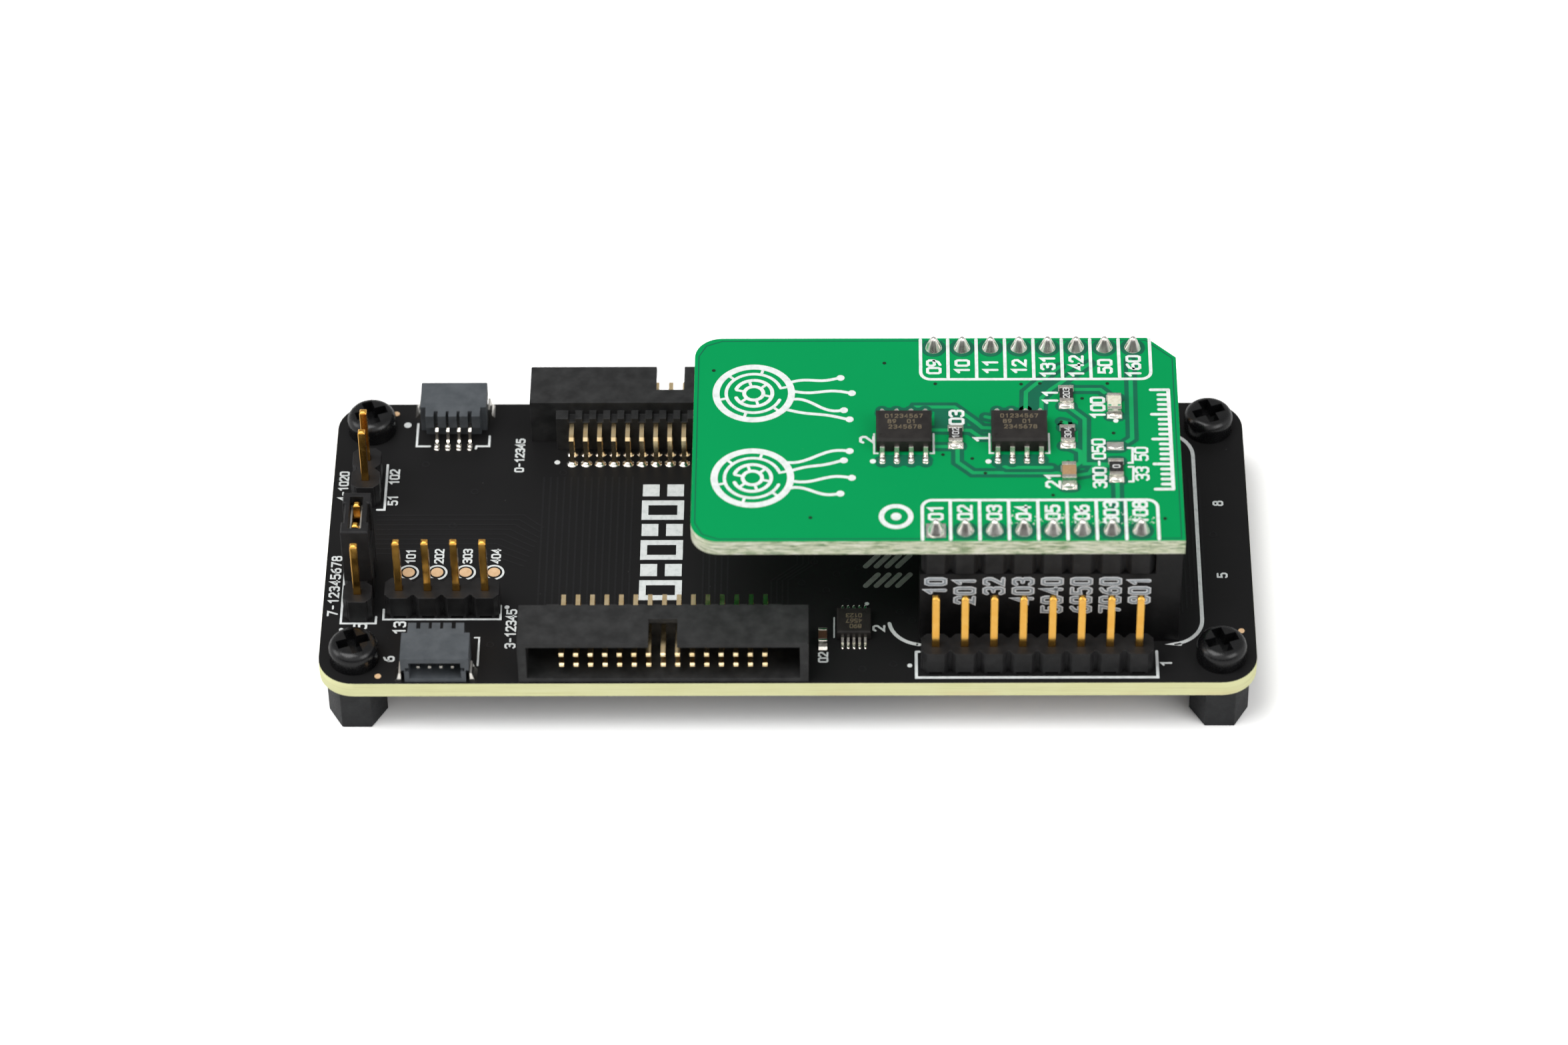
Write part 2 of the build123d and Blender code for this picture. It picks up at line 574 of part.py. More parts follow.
# ============================================================= add-on board
with BuildPart() as addon_pcb:
    with BuildSketch(Plane.XY.offset(ADDON_Z)) as addon_plan:
        with Locations((ADDON_X0 + ADDON_L / 2, SOCKET_Y0)):
            Rectangle(ADDON_L, ADDON_W)
        left = addon_plan.vertices().sort_by(Axis.X)[:2]
        fillet(left, ADDON_R)
        rear_right = addon_plan.vertices().sort_by(lambda v: v.X + v.Y)[-1]
        chamfer(rear_right, ADDON_CHAMFER)
        with Locations(*ADDON_PINS):
            Circle(LEAD_HOLE_R, mode=Mode.SUBTRACT)
    extrude(amount=ADDON_T)
finish(addon_pcb.part, "addon_pcb")


def addon_strip(points):
    """Strip between a socket and the add-on board."""
    with BuildPart() as strip:
        add(strip_sketch(points, True, Plane.XY.offset(SOCKET_TOP + SEAT_GAP)))
        extrude(amount=STRIP_H - SEAT_GAP)
    return strip.part


for name, row in zip(("addon_header_front", "addon_header_rear"), SOCKET_ROWS):
    points = [(x, row) for x in COLS]
    finish(addon_strip(points), name + "_base")
    pins = straight_pins(
        points, SOCKET_TOP - ADDON_PIN_REACH, ADDON_TOP + ADDON_PIN_TIP, ADDON_PIN_CHAMFER
    )
    finish(pins, name + "_pins")

# the pin ends stand inside their solder cones
RING_R, RING_H = 0.84, 0.1
JOINT_R, JOINT_NECK_R, JOINT_H = 0.8, 0.5, 0.55
PEAK_R, PEAK_H = 0.16, 0.75
POCKET_CUT = 1.03                                 # half of it is above the board

with BuildPart() as addon_solder:
    with Locations(*raised(ADDON_PINS, ADDON_TOP)):
        Cylinder(RING_R, RING_H, align=BASE)
        Cone(JOINT_R, JOINT_NECK_R, JOINT_H, align=BASE)
    with Locations(*raised(ADDON_PINS, ADDON_TOP + JOINT_H)):
        Cone(JOINT_NECK_R, PEAK_R, PEAK_H, align=BASE)
    with Locations(*raised(ADDON_PINS, ADDON_TOP)):
        Box(PIN_HOLE, PIN_HOLE, POCKET_CUT, mode=Mode.SUBTRACT)
finish(addon_solder.part, "addon_solder_joints")

PAD_AT, PAD_SIZE, PAD_T, PAD_ROUND = (28.85, -0.93), (1.5, 1.0), 0.12, 0.05

with BuildPart() as jumper_pad:
    with BuildSketch(Plane.XY.offset(ADDON_TOP)):
        with Locations(PAD_AT):
            Rectangle(*PAD_SIZE)
    extrude(amount=PAD_T)
    fillet(jumper_pad.edges().group_by(Axis.Z)[-1], PAD_ROUND)
finish(jumper_pad.part, "solder_jumper_pad")
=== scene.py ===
"""A black carrier board on standoffs, with a green memory add-on plugged into it.

The boards lie flat: x runs left to right, y front to rear and z up. Lengths are in
millimetres and are turned into metres where vertices are made. Shader distances,
the stage and the camera are in metres.
"""

import bpy, bmesh, math
from mathutils import Vector, Matrix

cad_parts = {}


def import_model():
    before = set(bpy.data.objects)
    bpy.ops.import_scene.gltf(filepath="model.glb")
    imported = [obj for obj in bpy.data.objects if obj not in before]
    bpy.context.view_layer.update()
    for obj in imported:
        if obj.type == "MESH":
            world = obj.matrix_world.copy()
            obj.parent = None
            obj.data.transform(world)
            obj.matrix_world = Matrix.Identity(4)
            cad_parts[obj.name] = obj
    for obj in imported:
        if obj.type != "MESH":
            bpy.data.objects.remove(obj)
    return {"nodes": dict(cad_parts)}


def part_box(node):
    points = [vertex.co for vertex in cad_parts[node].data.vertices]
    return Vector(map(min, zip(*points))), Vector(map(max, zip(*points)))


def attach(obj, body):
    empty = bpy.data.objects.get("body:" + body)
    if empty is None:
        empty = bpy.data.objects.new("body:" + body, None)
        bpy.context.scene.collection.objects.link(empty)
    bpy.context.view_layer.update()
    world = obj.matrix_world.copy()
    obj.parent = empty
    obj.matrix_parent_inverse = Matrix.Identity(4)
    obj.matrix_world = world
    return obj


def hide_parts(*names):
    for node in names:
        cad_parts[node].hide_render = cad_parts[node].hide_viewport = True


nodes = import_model()["nodes"]
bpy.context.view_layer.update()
bpy.context.scene.view_settings.view_transform = "Standard"
MILLI = 0.001
CARRIER, ADDON = "carrier_board", "addon_module"


def box_mm(name):
    low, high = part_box(name)
    return [c / MILLI for c in low], [c / MILLI for c in high]


def top_of(name):
    return box_mm(name)[1][2]


def steps(start, pitch, count):
    return [start + pitch * i for i in range(count)]


# ---------------------------------------------------------------- dimensions
BASE_UNDER, BASE_TOP = (corner[2] for corner in box_mm("base_pcb"))
ADDON_UNDER, ADDON_TOP = (corner[2] for corner in box_mm("addon_pcb"))
SOCKET_FACE_Y = box_mm("socket_front_housing")[0][1]

PITCH, HALF_PITCH = 2.54, 1.27
COLUMNS = steps(13.0, PITCH, 8)                  # pins joining the two boards
ROWS = [0.2 - 4.5 * PITCH, 0.2 + 4.5 * PITCH]
JOINTS = [(x, y) for y in ROWS for x in COLUMNS]
FINE_COLUMNS = steps(-10.8 - 7 * HALF_PITCH, HALF_PITCH, 15)    # header pins left of centre
FINE_ROWS = (11.05, 9.78)                        # distance from y = 0, on both sides
SHIFTER_X, SHIFTER_Y = 5.85, -10.8
CHIP_XS, CHIP_Y = (10.28, 20.43), 0.39           # memory chips
CHIP_SIDES = [(x, side) for x in CHIP_XS for side in (-1, 1)]
LEADS = steps(-1.5 * HALF_PITCH, HALF_PITCH, 4)  # x from the chip's middle
# two-ended parts on the add-on: x, y, height of the solder at their ends
SMALL_PARTS = [(14.84, 0.31, 0.5), (24.69, 5.3, 0.5), (24.7, 0.33, 0.5),
               (28.85, -3.9, 0.5), (24.7, -4.77, 0.8), (28.9, 4.04, 0.5)]
BRIDGE_X, BRIDGE_Y = 28.85, -0.93                # solder jumper

EMBED = 0.012           # how far print is sunk into its surface
INK = 0.018             # how far silkscreen stands proud
MARK = dict(height=0.008, embed=0.01)            # markings on components
LIFT, LIFT_CYCLE = 0.0006, 31                    # height between overlapping strokes


# -------------------------------------------------------------- node builders
class Graph:
    """Shorthand for building a shader node tree."""

    def __init__(self, tree):
        self.tree = tree
        tree.nodes.clear()

    def feed(self, socket, value):
        """Link a socket, or set it; a plain number on a colour gives a grey."""
        if isinstance(value, bpy.types.NodeSocket):
            self.tree.links.new(value, socket)
        elif socket.type == "RGBA":
            colour = value if isinstance(value, tuple) else (value,) * 3
            socket.default_value = (*colour, 1.0)
        else:
            socket.default_value = value

    def node(self, kind, inputs=None, **settings):
        node = self.tree.nodes.new("ShaderNode" + kind)
        for key, value in settings.items():
            setattr(node, key, value)
        for key, value in (inputs or {}).items():
            self.feed(node.inputs[key], value)
        return node

    def math(self, operation, first, second=0.0):
        return self.node("Math", {0: first, 1: second}, operation=operation).outputs[0]

    def remap(self, value, span, to, curve="LINEAR"):
        inputs = dict(enumerate((value, *span, *to)))
        return self.node("MapRange", inputs, interpolation_type=curve).outputs[0]

    def split(self, vector):
        return self.node("SeparateXYZ", {0: vector}).outputs


class Mat(Graph):
    """A principled material in object coordinates."""

    SOCKETS = {"color": "Base Color", "metal": "Metallic", "rough": "Roughness",
               "normal": "Normal", "coat": "Coat Weight", "coat_rough": "Coat Roughness",
               "spec": "Specular IOR Level", "sss": "Subsurface Weight"}

    def __init__(self, name):
        self.material = bpy.data.materials.new(name)
        self.material.use_nodes = True
        super().__init__(self.material.node_tree)
        self.output = self.node("OutputMaterial")
        self.shader = self.node("BsdfPrincipled")
        self.feed(self.output.inputs[0], self.shader.outputs[0])
        self.coords = self.node("TexCoord").outputs["Object"]

    def scaled(self, x, y, z):
        return self.node("Mapping", {"Vector": self.coords, "Scale": (x, y, z)}).outputs[0]

    def noise(self, scale=1.0, detail=4.0, rough=0.55, vector=None, distortion=0.0):
        return self.node("TexNoise", {
            "Scale": scale, "Detail": detail, "Roughness": rough, "Distortion": distortion,
            "Vector": vector or self.coords}).outputs["Fac"]

    def cells(self, scale):
        inputs = {"Scale": scale, "Vector": self.coords}
        return self.node("TexVoronoi", inputs).outputs["Distance"]

    def ramp(self, factor, *stops):
        """Each stop is a position and a colour or grey."""
        node = self.node("ValToRGB", {0: factor})
        elements = node.color_ramp.elements
        while len(elements) < len(stops):
            elements.new(0.5)
        for element, (position, tone) in zip(elements, stops):
            element.position = position
            colour = tone if isinstance(tone, tuple) else (tone,) * 3
            element.color = (*colour, 1.0)
        return node.outputs[0]

    def mix(self, factor, first, second):
        return self.node("Mix", {0: factor, 6: first, 7: second}, data_type="RGBA").outputs[2]

    def bump(self, height, strength=0.2, distance=0.00002, over=None):
        inputs = {"Strength": strength, "Distance": distance, "Height": height}
        if over is not None:
            inputs["Normal"] = over
        return self.node("Bump", inputs).outputs[0]

    def flatness(self):
        """How far the true normal points straight up or down."""
        normal = self.node("NewGeometry").outputs["True Normal"]
        return self.math("ABSOLUTE", self.split(normal)[2])

    def set(self, **values):
        for key, value in values.items():
            self.feed(self.shader.inputs[self.SOCKETS[key]], value)
        return self


# ------------------------------------------------------------------ materials
def plastic(name, dark, light, rough, grain, relief, scuff, spec, scuff_tone=0.12):
    """Moulded plastic: fine grain, slow tone change and a few pale scuffs."""
    mat = Mat(name)
    tone = mat.ramp(mat.noise(700.0, detail=3.0), (0.35, dark), (0.7, light))
    fine = mat.noise(grain, detail=5.0, rough=0.65)
    streaks = mat.noise(detail=6.0, rough=0.75, vector=mat.scaled(2600, 14000, 5200),
                        distortion=1.4)
    scuffs = mat.ramp(streaks, (0.63, 0.0), (0.72, 1.0))
    color = mat.mix(mat.math("MULTIPLY", scuffs, scuff), tone, (scuff_tone,) * 3
                    if isinstance(scuff_tone, float) else scuff_tone)
    sheen = mat.remap(fine, span=(0.3, 0.7), to=(rough - 0.08, rough + 0.1))
    normal = mat.bump(fine, relief, distance=0.00003)
    normal = mat.bump(scuffs, strength=0.12, distance=0.00001, over=normal)
    mat.set(color=color, rough=sheen, normal=normal, spec=spec)
    return mat.material


def metal(name, dark, light, rough, relief, scale):
    """Plated or cast metal: slow tone change, fine drawn lines and shallow pits."""
    mat = Mat(name)
    slow = mat.noise(scale, detail=3.0)
    lines = mat.noise(detail=3.0, rough=0.6,
                      vector=mat.scaled(scale * 4, scale * 4, scale * 1.2))
    mat.set(color=mat.ramp(slow, (0.30, dark), (0.70, light)), metal=1.0,
            rough=mat.remap(slow, span=(0.3, 0.7), to=(rough - 0.04, rough + 0.06)),
            normal=mat.bump(lines, relief, distance=0.000006))
    return mat.material


def circuit_board(name, mask_dark, mask_light, laminate, rough, coat,
                  weave, fibre, plies, edge_relief, stain=False):
    """Solder mask on the flat faces, and layered glass cloth on the cut edge."""
    mat = Mat(name)
    slow = mat.noise(90.0, detail=3.0)
    fine = mat.noise(5000.0, rough=0.6)
    dust = mat.ramp(mat.cells(420.0), (0.0, 1.0), (0.028, 0.0))
    mask = mat.mix(slow, mask_dark, mask_light)
    mask = mat.mix(mat.math("MULTIPLY", dust, 0.18), mask, (0.55, 0.57, 0.55))
    # cut edge: plies across the thickness, torn into short fibres along it
    ply = mat.noise(detail=5.0, rough=0.7, vector=mat.scaled(fibre, fibre, plies),
                    distortion=0.3)
    blotch = mat.noise(260.0, rough=0.6)
    edge = mat.ramp(ply, *laminate)
    edge = mat.mix(mat.ramp(blotch, (0.45, 0.0), (0.8, 0.45)), edge, laminate[-1][1])
    if stain:
        # pink blotches that fade out above the underside
        low = mat.remap(mat.split(mat.coords)[2], to=(1.0, 0.0),
                        span=(BASE_UNDER * MILLI, (BASE_UNDER + 0.9) * MILLI))
        pink = mat.ramp(mat.noise(75.0, detail=3.0), (0.60, 0.0), (0.70, 0.55))
        amount = mat.math("MULTIPLY", mat.math("MULTIPLY", pink, low), ply)
        edge = mat.mix(amount, edge, (0.78, 0.36, 0.20))
    flat = mat.ramp(mat.flatness(), (0.90, 0.0), (0.96, 1.0))
    threads = mat.noise(detail=2.0, rough=0.5, vector=mat.scaled(900, 30, 900))
    threads = mat.math("MULTIPLY", threads, weave)
    face = mat.math("ADD", mat.math("MULTIPLY", fine, 0.25), threads)
    height = mat.mix(flat, mat.math("MULTIPLY", ply, edge_relief), face)
    sheen = mat.remap(fine, span=(0.3, 0.7), to=(rough - 0.04, rough + 0.07))
    mat.set(color=mat.mix(flat, edge, mask), rough=mat.mix(flat, 0.72, sheen),
            normal=mat.bump(height, strength=0.35, distance=0.00004), spec=0.09,
            coat=mat.math("MULTIPLY", flat, coat), coat_rough=0.22)
    return mat.material


def ink(name, dark, light, grain=2200.0):
    """Matte print with a slight change of tone."""
    mat = Mat(name)
    tone = mat.noise(grain, rough=0.6)
    mat.set(color=mat.ramp(tone, (0.25, dark), (0.55, light)),
            rough=mat.remap(tone, span=(0.2, 0.8), to=(0.5, 0.75)),
            normal=mat.bump(mat.noise(9000.0, detail=3.0), strength=0.25), spec=0.3)
    return mat.material


def mottled(name, dark, light, rough, grain, relief=None, **surface):
    """One noise drives tone, roughness and relief. grain: the noise's arguments."""
    mat = Mat(name)
    tone = mat.noise(**grain)
    mat.set(color=mat.ramp(tone, (0.3, dark), (0.7, light)),
            rough=mat.remap(tone, span=(0.3, 0.7), to=rough), **surface)
    if relief:
        mat.set(normal=mat.bump(tone, relief))
    return mat


def copper():
    mat = mottled("tinned_copper_pad", (0.90, 0.58, 0.31), (0.99, 0.69, 0.42),
                  rough=(0.40, 0.58), grain=dict(scale=2600.0, rough=0.6),
                  metal=0.30, spec=0.4)
    mat.set(normal=mat.bump(mat.noise(9000.0, detail=3.0), strength=0.2, distance=0.00001))
    return mat.material


def led_resin():
    mat = mottled("led_resin", (0.76, 0.73, 0.55), (0.88, 0.86, 0.72), rough=(0.22, 0.38),
                  grain=dict(scale=3500.0), sss=0.15, coat=0.3, coat_rough=0.1)
    mat.shader.inputs["Subsurface Radius"].default_value = (0.0004, 0.0003, 0.0002)
    return mat.material


CERAMIC_GRAIN = dict(scale=9000.0, detail=5.0, rough=0.7)

MATS = {
    "black_pcb": circuit_board(
        "carrier_solder_mask", (0.0115, 0.0113, 0.0116), (0.0165, 0.0163, 0.0168),
        laminate=((0.2, (0.72, 0.69, 0.34)), (0.5, (0.90, 0.90, 0.49)),
                  (0.8, (0.97, 0.97, 0.60))),
        rough=0.36, coat=0.0, weave=0.4, fibre=160, plies=9000, edge_relief=0.5, stain=True),
    "green_pcb": circuit_board(
        "addon_solder_mask", (0.0, 0.318, 0.088), (0.0, 0.350, 0.098),
        laminate=((0.36, (0.16, 0.29, 0.13)), (0.44, (0.44, 0.52, 0.32)),
                  (0.51, (0.74, 0.78, 0.56)), (0.62, (0.98, 0.98, 0.84))),
        rough=0.42, coat=0.0, weave=0.12, fibre=560, plies=4400, edge_relief=2.6),
    "nylon": plastic("nylon_black", (0.0040, 0.0040, 0.0045), (0.0065, 0.0065, 0.0070),
                     rough=0.24, grain=5000, relief=0.035, scuff=0.01, spec=0.40),
    "nylon_matte": plastic("standoff_nylon", (0.013, 0.0135, 0.015), (0.022, 0.023, 0.025),
                           rough=0.50, grain=6000, relief=0.2, scuff=0.05, spec=0.32),
    "header": plastic("header_plastic", (0.0120, 0.0118, 0.0124), (0.0230, 0.0226, 0.0236),
                      rough=0.42, grain=9000, relief=0.24, scuff=0.22, scuff_tone=0.18,
                      spec=0.22),
    "socket": plastic("socket_plastic", (0.0050, 0.0048, 0.0052), (0.0090, 0.0086, 0.0092),
                      rough=0.34, grain=7000, relief=0.12, scuff=0.05, spec=0.20),
    "shroud": plastic("shroud_plastic", (0.0220, 0.0222, 0.0224), (0.0410, 0.0412, 0.0415),
                      rough=0.48, grain=7000, relief=0.26, scuff=0.24,
                      scuff_tone=(0.24, 0.24, 0.23), spec=0.18),
    "slate": plastic("bus_socket_plastic", (0.076, 0.085, 0.094), (0.108, 0.119, 0.130),
                     rough=0.52, grain=11000, relief=0.35, scuff=0.40,
                     scuff_tone=(0.24, 0.26, 0.28), spec=0.20),
    "chip": plastic("chip_epoxy", (0.0180, 0.0160, 0.0150), (0.0300, 0.0270, 0.0250),
                    rough=0.50, grain=14000, relief=0.35, scuff=0.05, spec=0.22),
    "gold": metal("gold_plate", (0.93, 0.48, 0.088), (1.0, 0.57, 0.130),
                  rough=0.20, relief=0.018, scale=1200),
    "pale_gold": metal("pale_gold_plate", (0.90, 0.66, 0.34), (1.0, 0.82, 0.52),
                       rough=0.22, relief=0.025, scale=1200),
    "tin": metal("tin_plate", (0.66, 0.62, 0.54), (0.86, 0.83, 0.77),
                 rough=0.24, relief=0.25, scale=1500),
    "solder": metal("solder_alloy", (0.78, 0.74, 0.68), (0.97, 0.95, 0.90),
                    rough=0.19, relief=0.12, scale=900),
    "copper": copper(),
    "ink": ink("white_silkscreen", (0.72, 0.77, 0.74), (0.90, 0.93, 0.91)),
    "ink_carrier": ink("carrier_silkscreen", (0.66, 0.70, 0.69), (0.86, 0.89, 0.88)),
    "ink_grey": ink("grey_copper_art", (0.26, 0.27, 0.25), (0.36, 0.37, 0.34)),
    "label_line": ink("socket_label_line", (0.74, 0.78, 0.82), (0.92, 0.95, 0.98)),
    "label_fill": ink("socket_label_fill", (0.26, 0.30, 0.34), (0.38, 0.43, 0.47)),
    "mark": ink("laser_mark", (0.10, 0.082, 0.055), (0.19, 0.155, 0.10), grain=9000),
    "mark_white": ink("resistor_mark", (0.55, 0.56, 0.55), (0.80, 0.81, 0.80), grain=6000),
    "dark_green": ink("mask_over_laminate", (0.0, 0.118, 0.060), (0.0, 0.138, 0.070),
                      grain=700),
    "light_green": ink("mask_over_copper", (0.0, 0.350, 0.100), (0.0, 0.385, 0.115),
                       grain=700),
    "faint_black": mottled("mask_over_trace", (0.0150, 0.0150, 0.0158),
                           (0.0200, 0.0200, 0.0210), rough=(0.32, 0.43), relief=0.1,
                           grain=dict(scale=5000.0, rough=0.6), spec=0.11).material,
    "flux": ink("flux_residue", (0.42, 0.62, 0.50), (0.80, 0.86, 0.80), grain=9000),
    "via": ink("via_shadow", (0.001, 0.012, 0.005), (0.003, 0.03, 0.01), grain=4000),
    "film": mottled("thick_film", (0.010, 0.009, 0.009), (0.020, 0.018, 0.017),
                    rough=(0.22, 0.36), grain=dict(scale=4000.0), relief=0.1,
                    coat=0.3, coat_rough=0.15).material,
    "cap": mottled("capacitor_ceramic", (0.38, 0.22, 0.10), (0.52, 0.33, 0.17),
                   rough=(0.38, 0.55), grain=CERAMIC_GRAIN, relief=0.25).material,
    "cap_dark": mottled("dark_capacitor_ceramic", (0.055, 0.026, 0.014),
                        (0.10, 0.048, 0.026), rough=(0.30, 0.45), grain=CERAMIC_GRAIN,
                        relief=0.2).material,
    "led": led_resin(),
}

# ------------------------------------------------------- looks of the CAD parts
HEADERS = ("probe_header_front", "probe_header_rear", "breakout_header", "power_selector",
           "power_ext_header", "addon_header_front", "addon_header_rear")
HEADER_BASES = " ".join(header + "_base" for header in HEADERS)
HEADER_PINS = " ".join(header + "_pins" for header in HEADERS)

PARTS_BY_MATERIAL = {
    "black_pcb": "base_pcb",
    "green_pcb": "addon_pcb",
    "nylon_matte": "standoffs",
    "nylon": "screws",
    "shroud": "input_header_shroud output_header_shroud",
    "pale_gold": "input_header_pins output_header_pins",
    "header": HEADER_BASES + " jumper_cap_housing",
    "gold": HEADER_PINS,
    "socket": "socket_front_housing socket_rear_housing",
    "slate": "front_bus_socket_housing rear_bus_socket_housing",
    "chip": "level_shifter_body memory_chip_bodies",
    "tin": "socket_front_contacts socket_rear_contacts front_bus_socket_contacts "
           "rear_bus_socket_contacts level_shifter_leads decoupling_cap_terminals "
           "jumper_cap_clip memory_chip_leads resistor_terminals addon_cap_terminals "
           "power_led_terminals",
    "solder": "front_bus_socket_tabs rear_bus_socket_tabs carrier_solder_joints "
              "addon_solder_joints solder_jumper_pad",
    "copper": "test_pads fiducials",
    "film": "resistor_bodies",
    "cap": "addon_cap_body",
    "cap_dark": "decoupling_cap_body",
    "led": "power_led_body",
}
PARTS_BY_EDGE_WIDTH = {
    0.05: "input_header_shroud output_header_shroud socket_front_housing "
          "socket_rear_housing resistor_bodies resistor_terminals addon_cap_body "
          "addon_cap_terminals power_led_body power_led_terminals decoupling_cap_body "
          "decoupling_cap_terminals " + HEADER_BASES + " " + HEADER_PINS,
    0.045: "front_bus_socket_housing rear_bus_socket_housing jumper_cap_housing",
    0.04: "memory_chip_bodies level_shifter_body",
    0.10: "standoffs",
    0.20: "base_pcb",
    0.07: "addon_pcb",
    0.03: "memory_chip_leads",
}


def dress(part, material):
    if not part.material_slots:
        part.data.materials.append(material)
    for slot in part.material_slots:
        slot.material = material


def soften(part, width):
    """Round the sharp edges once the CAD triangles are merged into flat faces."""
    weld = part.modifiers.new("weld", "WELD")
    weld.merge_threshold = 2e-6
    planar = part.modifiers.new("planar", "DECIMATE")
    planar.decimate_type = "DISSOLVE"
    planar.angle_limit = math.radians(1.0)
    edge = part.modifiers.new("edge", "BEVEL")
    edge.width = width * MILLI
    edge.segments = 2
    edge.limit_method = "ANGLE"
    edge.angle_limit = math.radians(35)
    edge.use_clamp_overlap = True
    edge.harden_normals = False
    tidy = part.modifiers.new("tidy", "WELD")
    tidy.merge_threshold = 1e-7


for key, names in PARTS_BY_MATERIAL.items():
    for name in names.split():
        dress(nodes[name], MATS[key])
for width, names in PARTS_BY_EDGE_WIDTH.items():
    for name in names.split():
        soften(nodes[name], width)


# ------------------------------------------------------------- mesh builders
def add_mesh(name, shell, material, body, smooth=False):
    bmesh.ops.recalc_face_normals(shell, faces=shell.faces)
    mesh = bpy.data.meshes.new(name)
    shell.to_mesh(mesh)
    shell.free()
    for face in mesh.polygons:
        face.use_smooth = smooth
    piece = bpy.data.objects.new(name, mesh)
    bpy.context.scene.collection.objects.link(piece)
    mesh.materials.append(material)
    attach(piece, body)
    return piece


def arc(x, y, radius, start, end, count):
    """Points from start to end, in degrees, count steps apart."""
    angles = [math.radians(start + (end - start) * i / count) for i in range(count + 1)]
    return [(x + radius * math.cos(t), y + radius * math.sin(t)) for t in angles]


# numerals one unit high: strokes of (points, closed)
GLYPHS = {
    "0": [([(0.1, 0), (0.5, 0), (0.6, 0.15), (0.6, 0.85), (0.5, 1), (0.1, 1), (0, 0.85),
            (0, 0.15)], True)],
    "1": [([(0.1, 0.78), (0.36, 1), (0.36, 0)], False)],
    "2": [([(0, 0.82), (0.12, 1), (0.48, 1), (0.6, 0.85), (0.6, 0.62), (0, 0.02),
            (0.6, 0)], False)],
    "3": [([(0, 0.88), (0.12, 1), (0.48, 1), (0.6, 0.86), (0.6, 0.66), (0.46, 0.53),
            (0.22, 0.53)], False),
          ([(0.46, 0.53), (0.6, 0.4), (0.6, 0.14), (0.48, 0), (0.12, 0), (0, 0.12)], False)],
    "4": [([(0.45, 0), (0.45, 1), (0, 0.3), (0.6, 0.3)], False)],
    "5": [([(0.56, 1), (0.05, 1), (0.03, 0.56), (0.45, 0.6), (0.6, 0.45), (0.6, 0.15),
            (0.45, 0), (0.12, 0), (0, 0.1)], False)],
    "6": [([(0.5, 1), (0.18, 0.85), (0, 0.5), (0, 0.15), (0.12, 0), (0.48, 0), (0.6, 0.15),
            (0.6, 0.42), (0.48, 0.56), (0.05, 0.5)], False)],
    "7": [([(0, 1), (0.6, 1), (0.22, 0)], False)],
    "8": [([(0.12, 0.54), (0, 0.4), (0, 0.13), (0.12, 0), (0.48, 0), (0.6, 0.13),
            (0.6, 0.4), (0.48, 0.54)], True),
          ([(0.14, 0.56), (0.03, 0.68), (0.03, 0.88), (0.14, 1), (0.46, 1), (0.57, 0.88),
            (0.57, 0.68), (0.46, 0.56)], True)],
    "9": [([(0.1, 0), (0.42, 0.15), (0.6, 0.5), (0.6, 0.85), (0.48, 1), (0.12, 1),
            (0, 0.85), (0, 0.58), (0.12, 0.44), (0.55, 0.5)], False)],
    "-": [([(0.1, 0.5), (0.5, 0.5)], False)],
}
GLYPH_WIDTH = 0.6


